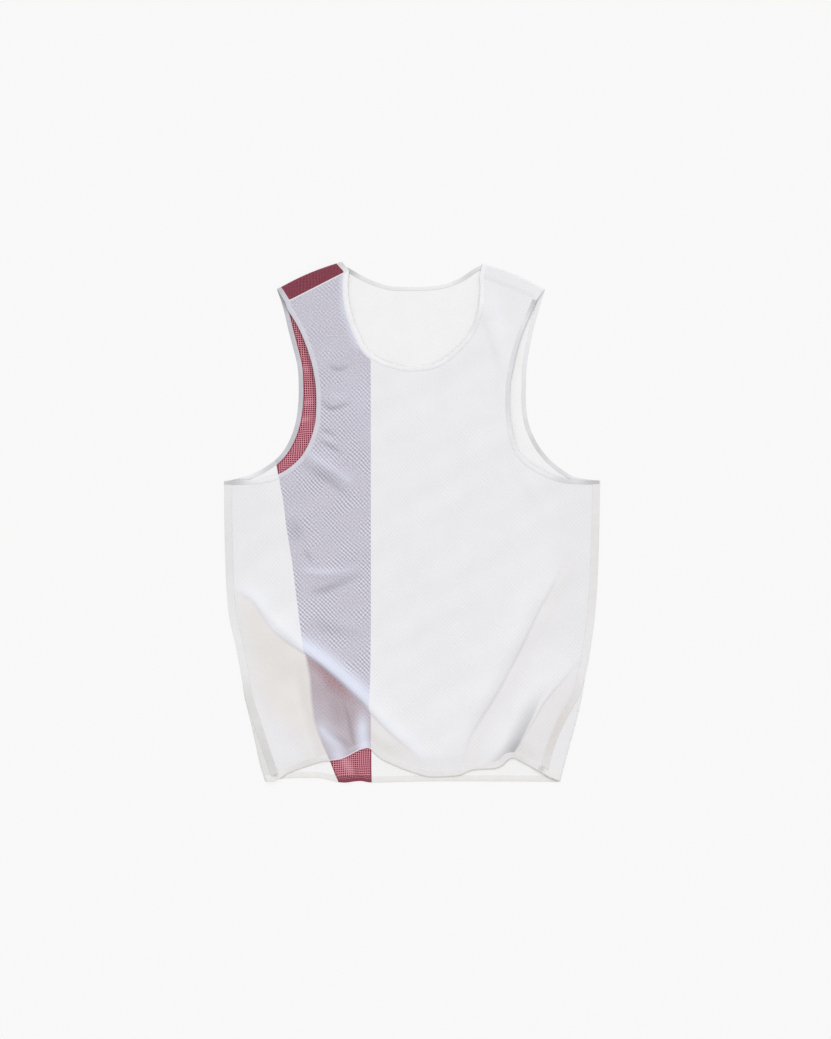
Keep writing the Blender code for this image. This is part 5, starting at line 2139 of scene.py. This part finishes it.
@dataclass
class Strip:
    """A tape or band sewn along an edge: a crowned section swept along the cut.

    Heights are halves of the strip's thickness at each reach from the edge.
    """

    name: str
    node: str
    width: float
    thickness: float
    reaches: tuple[float, ...] = (0.0, 0.05, 0.16, 0.36, 0.64, 0.86, 0.96, 1.0)
    heights: tuple[float, ...] = (0.35, 0.7, 0.9, 1.0, 1.0, 0.92, 0.8, 0.62)
    seams: tuple[tuple[float, float], ...] = ((0.82, 0.94),)
    spacing: float = 0.0022
    sharp: float = math.radians(75)

    def sections(
        self, cut: Cut, edge: Edge, ends: dict[Edge, float], lift: float = 0.0
    ) -> tuple[Array, Array]:
        """Closed sections along one stretch of a cut, and the flat place of every point.

        Args:
            cut: The cut of the panel that the strip is sewn to.
            edge: The stretch that it runs along.
            ends: How far in from other stretches it ends.
            lift: How far it lies outside the panel's middle.

        Returns:
            The sections' points and, for each, its place on the flat cut.
        """
        above, below, flats = [], [], []
        for reach, height in zip(self.reaches, self.heights):
            row = cut.row(edge, {**ends, edge: reach * self.width}, self.spacing)
            placed, inward = cut.layout.middle(row), cut.layout.inward(row)
            half = height * self.thickness / 2
            above.append(placed - inward * (lift + half))
            below.append(placed - inward * (lift - half))
            flats.append(row)
        points = np.stack(above + below[::-1], axis=1)
        return points, np.stack(flats + flats[::-1], axis=1)

    def sweep(
        self,
        points: Array,
        flats: Array,
        closed: bool,
        finish: TapeFinish,
        inner: Sequence[tuple[float, float]],
        **marks: Array,
    ) -> bpy.types.Object:
        """Makes the strip's object from its sections.

        Args:
            points: The sections' points.
            flats: Where each lies on the flat cut.
            closed: Whether the strip goes round and meets itself.
            finish: Its finish.
            inner: The printed band's inner edge on its panel.
            marks: Marks for its finish, by name.

        Returns:
            The object.
        """
        rows, count = points.shape[:2]
        # A quarter of the way round a section is the middle of its outer face.
        run = run_lengths(points[:, count // 4])
        across = np.array([*self.reaches, *self.reaches[::-1]]) * self.width
        uv = np.stack([np.repeat(run, count), np.tile(across, rows)], axis=1)
        faces = []
        for here in range(rows if closed else rows - 1):
            first, next_first = here * count, (here + 1) % rows * count
            for corner in range(count):
                aside = (corner + 1) % count
                near = (first + corner, first + aside)
                faces.append((*near, next_first + aside, next_first + corner))
        if not closed:
            last = (rows - 1) * count
            faces += [tuple(range(count))[::-1], tuple(range(last, last + count))]
        points = points.reshape(-1, 3)
        faces = self.outward(points, faces)
        printed = band_depth(flats.reshape(-1, 2), inner)
        marks = {name: values.ravel() for name, values in marks.items()}
        shell = Shell(points, faces, uv, {"printed": printed, **marks})
        return shell.build(self.name, [finish.material()], self.sharp)

    @staticmethod
    def outward(points: Array, faces: list[tuple[int, ...]]) -> list[tuple[int, ...]]:
        """The faces turned so that the solid's volume is above zero.

        Args:
            points: The solid's points.
            faces: Its faces.

        Returns:
            The faces.
        """
        volume = 0.0
        for face in faces:
            first = points[face[0]]
            for second, third in zip(face[1:-1], face[2:]):
                volume += float(first @ np.cross(points[second], points[third]))
        return faces if volume > 0 else [face[::-1] for face in faces]


@dataclass
class Binding(Strip):
    """A binding that goes once round an opening, along the back's edge and the front's."""

    width: float = 0.0058
    thickness: float = 0.0015

    def build(self, edge: Edge, back: Cut, front: Cut, finish: TapeFinish) -> bpy.types.Object:
        """Makes the binding's piece.

        Args:
            edge: The opening.
            back: The back's cut.
            front: The front's cut.
            finish: Its finish.

        Returns:
            The piece.
        """
        behind, before = self.sections(back, edge, {}), self.sections(front, edge, {})
        # Painted shade at spots along the back's half and the front's half.
        behind = (*behind, dusk_at(behind[1], BACK_TAPE_SHADE))
        before = (*before, dusk_at(before[1], FRONT_TAPE_SHADE))
        points, flats, dusk = (
            np.concatenate([one, other[::-1][1:-1]]) for one, other in zip(behind, before)
        )
        points[..., 2] += (self.thickness - back.layout.cloth.wall) / 2
        made = self.sweep(points, flats, True, finish, BACK_BAND_INNER, dusk=dusk)
        return finish_piece(made, "binding", self.node)


@dataclass
class HemBand(Strip):
    """The turned and stitched band along a panel's lower edge."""

    width: float = 0.0085
    thickness: float = 0.0012
    seams: tuple[tuple[float, float], ...] = ((0.58, 1.0), (0.84, 0.93))

    def build(
        self,
        cut: Cut,
        finish: TapeFinish,
        inner: Sequence[tuple[float, float]],
        spots: Sequence[Dusk],
    ) -> bpy.types.Object:
        """Makes the hem band's piece.

        Args:
            cut: The panel's cut.
            finish: Its finish.
            inner: The printed band's inner edge on its panel.
            spots: The places where it gets painted shade.

        Returns:
            The piece.
        """
        points, flats = self.sections(cut, Edge.HEM, {})
        points[..., 2] += (self.thickness - cut.layout.cloth.wall) / 2
        # Painted shade at the band's spots; on the front, the folds' painted highlight as well.
        gleam = gleam_at(flats.reshape(-1, 2), FOLDS if finish.drawn else ())
        marks = {"dusk": dusk_at(flats, spots), "drawn": gleam}
        made = self.sweep(points, flats, False, finish, inner, **marks)
        return finish_piece(made, "hem_band", self.node)


@dataclass
class FelledSeam(Strip):
    """The felled strip that lies on the front along one side seam."""

    width: float = 0.0095
    thickness: float = 0.0009
    reaches: tuple[float, ...] = tuple(share / 14 for share in range(15))
    heights: tuple[float, ...] = (0.7, 0.9, *(1.0,) * 11, 0.85, 0.45)
    seams: tuple[tuple[float, float], ...] = ((0.14, 0.92), (0.82, 0.92))
    lift_share: float = 0.4
    ends: tuple[float, float] = (0.008, 0.0052)
    seam_ends: tuple[float, float] = (0.0085, 0.0058)

    def build(self, side: Side, front: Cut, finish: TapeFinish) -> bpy.types.Object:
        """Makes the seam's piece.

        Args:
            side: The side.
            front: The front's cut.
            finish: Its finish.

        Returns:
            The piece.
        """
        ends = dict(zip((Edge.HEM, Edge.of("ARMHOLE", side)), self.ends))
        lift = front.layout.cloth.wall / 2 + self.thickness * self.lift_share
        points, flats = self.sections(front, Edge.of("SIDE", side), ends, lift)
        # Painted shade at spots along the seam strip.
        dusk = dusk_at(flats, SEAM_SHADE)
        made = self.sweep(points, flats, False, finish, FRONT_BAND_INNER, dusk=dusk)
        return finish_piece(made, "seam_strip", self.node)


@dataclass
class Stitching:
    """Rows of stitches that run along the tapes and seams."""

    pitch: float = 0.0027
    length: float = 0.002
    thickness: float = 0.00026
    segments: int = 6
    rings: int = 4
    unevenness: tuple[float, float] = (0.86, 1.08)
    seed: int = 5
    tree: bpy.types.NodeTree | None = None

    def node_tree(self) -> bpy.types.NodeTree:
        """The node tree that lays one stitch after another along lines."""
        tree = bpy.data.node_groups.new("stitch row", "GeometryNodeTree")
        sockets = {"Line": "Geometry", "Pitch": "Float", "Length": "Float", "Thickness": "Float"}
        sockets.update({"Seed": "Int", "Thread": "Material"})
        for name, kind in sockets.items():
            tree.interface.new_socket(name, in_out="INPUT", socket_type=f"NodeSocket{kind}")
        tree.interface.new_socket("Stitches", in_out="OUTPUT", socket_type="NodeSocketGeometry")
        wires = Wiring(tree)
        given = wires.node("NodeGroupInput").outputs
        curve = wires.node("GeometryNodeMeshToCurve", {"Mesh": given["Line"]}).outputs["Curve"]
        spaced = {"Curve": curve, "Length": given["Pitch"]}
        spots = wires.node("GeometryNodeCurveToPoints", spaced, mode="LENGTH").outputs
        stitch = {"Segments": self.segments, "Rings": self.rings, "Radius": 0.5}
        stitch = wires.node("GeometryNodeMeshUVSphere", stitch).outputs["Mesh"]
        uneven = wires.node("FunctionNodeRandomValue", data_type="FLOAT")
        for socket, value in zip((one for one in uneven.inputs if one.enabled), self.unevenness):
            socket.default_value = value
        wires.feed(uneven, {"Seed": given["Seed"]})
        share = next(socket for socket in uneven.outputs if socket.enabled)
        size = {axis: given["Thickness"] for axis in "XY"}
        size["Z"] = wires.sum("MULTIPLY", given["Length"], share)
        laid = {
            "Points": spots["Points"],
            "Instance": stitch,
            "Rotation": spots["Rotation"],
            "Scale": wires.node("ShaderNodeCombineXYZ", size).outputs[0],
        }
        laid = wires.node("GeometryNodeInstanceOnPoints", laid).outputs[0]
        real = wires.node("GeometryNodeRealizeInstances", {0: laid}).outputs[0]
        smooth = wires.node("GeometryNodeSetShadeSmooth", {0: real}).outputs[0]
        thread = {"Geometry": smooth, "Material": given["Thread"]}
        sewn = wires.node("GeometryNodeSetMaterial", thread).outputs[0]
        wires.node("NodeGroupOutput", {0: sewn})
        return tree

    def row(
        self,
        cut: Cut,
        edge: Edge,
        reach: float,
        lift: float,
        rise: float = 0.0,
        ends: dict[Edge, float] | None = None,
    ) -> Array:
        """A line on the garment's outside, along one stretch of a cut.

        Args:
            cut: The cut of the panel that it is sewn through.
            edge: The stretch that it runs along.
            reach: How far in from the edge it runs.
            lift: How far it lies outside the panel's middle, below zero for the inside.
            rise: How far up it is moved with its tape.
            ends: How far in from other stretches it ends.

        Returns:
            The line's points.
        """
        line = cut.row(edge, {**(ends or {}), edge: reach}, self.pitch)
        return cut.layout.middle(line) - cut.layout.inward(line) * lift + (0, 0, rise)

    def through(self, strip: Strip, back: Cut | None, front: Cut | None, edge: Edge) -> list[Array]:
        """The lines that hold a binding or hem band, on every face where they can be seen.

        Args:
            strip: The binding or band.
            back: The back's cut, where it is sewn through that.
            front: The front's cut, where it is sewn through that.
            edge: The stretch that it runs along.

        Returns:
            The lines, each as points.
        """
        lines = []
        for share, height in strip.seams:
            half = height * strip.thickness / 2
            for cut, lifts in ((back, (half - self.thickness / 2, -half)), (front, (half,))):
                if cut:
                    rise = (strip.thickness - cut.layout.cloth.wall) / 2
                    reach = strip.width * share
                    lines += [self.row(cut, edge, reach, lift, rise) for lift in lifts]
        return lines

    def along(self, strip: FelledSeam, side: Side, front: Cut) -> list[Array]:
        """The two lines that hold a felled seam, on its outside.

        Args:
            strip: The seam.
            side: The side.
            front: The front's cut.

        Returns:
            The lines, each as points.
        """
        ends = dict(zip((Edge.HEM, Edge.of("ARMHOLE", side)), strip.seam_ends))
        lines = []
        for share, height in strip.seams:
            lift = front.layout.cloth.wall / 2 + strip.thickness * height
            reach = strip.width * share
            lines.append(self.row(front, Edge.of("SIDE", side), reach, lift, ends=ends))
        return lines

    def sew(
        self, name: str, lines: Sequence[Array], thread: bpy.types.Material, slot: str
    ) -> bpy.types.Object:
        """Makes the stitches along lines as one plain mesh.

        Args:
            name: The piece's name.
            lines: The lines, each as points.
            thread: The thread's material.
            slot: The material slot of what is sewn.

        Returns:
            The piece.
        """
        points, pairs = [], []
        for line in lines:
            start = len(points)
            points += [tuple(point) for point in line]
            pairs += [(start + i, start + i + 1) for i in range(len(line) - 1)]
        mesh = bpy.data.meshes.new(f"{name}_lines")
        mesh.from_pydata(points, pairs, [])
        guide = add_object(mesh.name, mesh)
        modifier = guide.modifiers.new("stitch row", "NODES")
        self.tree = self.tree or self.node_tree()
        modifier.node_group = self.tree
        values = {
            "Pitch": self.pitch,
            "Length": self.length,
            "Thickness": self.thickness,
            "Seed": self.seed,
            "Thread": thread,
        }
        for socket in self.tree.interface.items_tree:
            if socket.name in values:
                modifier[socket.identifier] = values[socket.name]
        evaluated = guide.evaluated_get(bpy.context.evaluated_depsgraph_get())
        sewn = bpy.data.meshes.new_from_object(evaluated)
        guide.modifiers.remove(modifier)
        bpy.data.objects.remove(guide)
        for vertex in sewn.vertices:
            vertex.co.z = max(vertex.co.z, 0.0)
        sewn.name = name
        return finish_piece(add_object(name, sewn), slot)


@dataclass
class Studio:
    """The plain floor, the soft light and the camera straight above."""

    centre: tuple[float, float] = (0.0043, 0.004)
    frame_height: float = 1.3853
    camera_height: float = 6.0
    sensor: float = 36.0
    floor_side: float = 8.0
    floor_level: float = -0.0004
    floor_colour: Colour = (0.15, 0.15, 0.15)
    floor_glow: Colour = (0.795, 0.795, 0.795)
    sky_colour: Colour = (1.0, 0.985, 0.975)
    sky_strength: float = 0.81
    key_colour: Colour = (0.955, 0.975, 1.0)
    key_strength: float = 1.02
    key_lean: float = math.radians(52)
    key_spread: float = math.radians(32)

    def floor(self) -> None:
        """Makes the floor."""
        half = self.floor_side / 2
        ends = ((-half, -half), (half, -half), (half, half), (-half, half))
        mesh = bpy.data.meshes.new("floor")
        mesh.from_pydata([(x, y, self.floor_level) for x, y in ends], [], [(0, 1, 2, 3)])
        made, wires, shader = new_material("floor paper")
        surface = {
            "Base Color": self.floor_colour,
            "Emission Color": self.floor_glow,
            "Emission Strength": 1.0,
            "Roughness": 1.0,
            "Specular IOR Level": 0.0,
        }
        wires.feed(shader, surface)
        mesh.materials.append(made)
        floor = add_object("floor", mesh)

    def light(self) -> None:
        """Makes the even light of the room and the soft key light from beyond the neck."""
        world = bpy.data.worlds.new("soft room")
        world.use_nodes = True
        sky = world.node_tree.nodes["Background"]
        sky.inputs["Color"].default_value = (*self.sky_colour, 1)
        sky.inputs["Strength"].default_value = self.sky_strength
        bpy.context.scene.world = world
        key = bpy.data.lights.new("key", "SUN")
        key.color = self.key_colour
        key.energy = self.key_strength
        key.angle = self.key_spread
        add_object("key", key).rotation_euler = (-self.key_lean, 0, 0)

    def camera(self) -> None:
        """Makes the camera, straight above, with the neck at the top."""
        data = bpy.data.cameras.new("camera")
        data.sensor_width = self.sensor
        data.lens = self.sensor * self.camera_height / self.frame_height
        made = add_object("camera", data)
        made.location = (*self.centre, self.camera_height)
        bpy.context.scene.camera = made

    def build(self) -> None:
        """Sets the whole studio up."""
        self.camera()
        self.floor()
        self.light()
        bpy.context.scene.view_settings.view_transform = "Standard"


@dataclass
class Singlet:
    """The whole garment, from its pattern to its last stitch."""

    cloth: ClothSizes = ClothSizes()
    front_outside: MeshFinish = MeshFinish(
        "front mesh outside",
        plain_low=(0.812, 0.809, 0.835),
        plain_high=(0.852, 0.85, 0.872),
        print_low=(0.38, 0.365, 0.455),
        print_high=(0.755, 0.745, 0.815),
        print_weave=Weave.CHEQUER,
    )
    front_inside: MeshFinish = MeshFinish(
        "front mesh inside",
        plain_low=(0.815, 0.812, 0.835),
        plain_high=(0.85, 0.848, 0.865),
        print_low=(0.56, 0.548, 0.62),
        print_high=(0.76, 0.755, 0.8),
        print_weave=Weave.NET,
    )
    back_outside: MeshFinish = MeshFinish(
        "back mesh outside",
        plain_low=(0.815, 0.812, 0.838),
        plain_high=(0.85, 0.848, 0.87),
        print_low=(0.14, 0.02, 0.042),
        print_high=(0.3, 0.07, 0.1),
        print_weave=Weave.CHEQUER,
        sheltered_plain=(0.745, 0.75, 0.735),
    )
    back_inside: MeshFinish = MeshFinish(
        "back mesh inside",
        plain_low=(0.885, 0.885, 0.892),
        plain_high=(0.905, 0.905, 0.907),
        print_low=(0.165, 0.005, 0.024),
        print_high=(0.86, 0.355, 0.435),
        print_weave=Weave.NET,
        drawn_plain=(0.9, 0.9, 0.905),
        drawn_print=(0.82, 0.45, 0.51),
        edge_dark=0.75,
    )
    neck_tape: TapeFinish = TapeFinish("neck tape", (0.91, 0.91, 0.93), (0.91, 0.91, 0.93))
    arm_tape: TapeFinish = TapeFinish("armhole tape", (0.86, 0.86, 0.885), (0.66, 0.66, 0.73))
    front_hem: TapeFinish = TapeFinish(
        "front hem band",
        (0.84, 0.832, 0.836),
        (0.53, 0.485, 0.55),
        dusky=(0.5, 0.475, 0.445),
        drawn=(0.8, 0.8, 0.96),
        rim=(0.825, 0.815, 0.8),
        printed_rim=(0.95, 0.82, 0.92),
        rim_width=0.0016,
    )
    back_hem: TapeFinish = TapeFinish("back hem band", (0.855, 0.842, 0.832), (0.25, 0.045, 0.073))
    right_seam: TapeFinish = TapeFinish(
        "right felled seam", (0.85, 0.85, 0.86), (0.55, 0.53, 0.6), dusky=(0.56, 0.56, 0.53)
    )
    left_seam: TapeFinish = TapeFinish(
        "left felled seam", (0.85, 0.845, 0.85), (0.55, 0.53, 0.6), dusky=(0.64, 0.58, 0.55)
    )
    thread: ThreadFinish = ThreadFinish("sewing thread", (0.88, 0.88, 0.89))

    def build(self) -> None:
        """Makes every piece, in order."""
        pattern = Pattern(self.cloth)
        back, front = pattern.back(), pattern.front()
        mesh = (self.back_outside, self.back_inside, BACK_BAND_INNER)
        marking = BackMarking(BACK_SHADES, BACK_LIGHTS, BACK_CREASES)
        back_panel = Panel("back_cloth", "back_panel", back, *mesh, marking).build()
        mesh = (self.front_outside, self.front_inside, FRONT_BAND_INNER)
        marking = FrontMarking(SHADES, PAINTED_HIGHLIGHTS, (*FOLDS, *CREASES))
        front_panel = Panel("front_cloth", "front_panel", front, *mesh, marking).build()
        stitching, thread = Stitching(), self.thread.material()
        with_back, with_front = [], []
        openings = (Edge.NECK, Edge.ARMHOLE_RIGHT, Edge.ARMHOLE_LEFT)
        for word, edge in zip(("neck", "right_armhole", "left_armhole"), openings):
            made = Binding(f"{word}_tape", f"{word}_binding")
            finish = self.neck_tape if edge is Edge.NECK else self.arm_tape
            with_back.append(made.build(edge, back, front, finish))
            lines = stitching.through(made, back, front, edge)
            with_back.append(stitching.sew(f"{word}_stitches", lines, thread, "binding"))
        made = HemBand("back_hem_band", "back_hem")
        with_back.append(made.build(back, self.back_hem, BACK_BAND_INNER, BACK_HEM_SHADE))
        lines = stitching.through(made, back, None, Edge.HEM)
        with_back.append(stitching.sew("back_hem_stitches", lines, thread, "hem_band"))
        made = HemBand("front_hem_band", "front_hem")
        with_front.append(made.build(front, self.front_hem, FRONT_BAND_INNER, FRONT_HEM_SHADE))
        lines = stitching.through(made, None, front, Edge.HEM)
        with_front.append(stitching.sew("front_hem_stitches", lines, thread, "hem_band"))
        for side, finish in zip(Side, (self.right_seam, self.left_seam)):
            made = FelledSeam(f"{side.word}_felled_seam", f"{side.word}_side_seam")
            with_front.append(made.build(side, front, finish))
            lines, name = stitching.along(made, side, front), f"{side.word}_side_stitches"
            with_front.append(stitching.sew(name, lines, thread, "seam_strip"))
        back.size()
        back.area()
        rest = {"rests_on": [back_panel], "area": front.area(), "with_pieces": with_front}
        front.size()
        for word, cut in (("back", back), ("front", front)):
            LOG.info("%s cut: %.4f x %.4f m, %.4f m2", word, *cut.size(), cut.area())


def main() -> None:
    """Builds the singlet and its studio."""
    logging.basicConfig(level=logging.INFO, format="%(message)s")
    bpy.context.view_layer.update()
    Studio().build()
    Singlet().build()


if __name__ == "__main__":
    main()
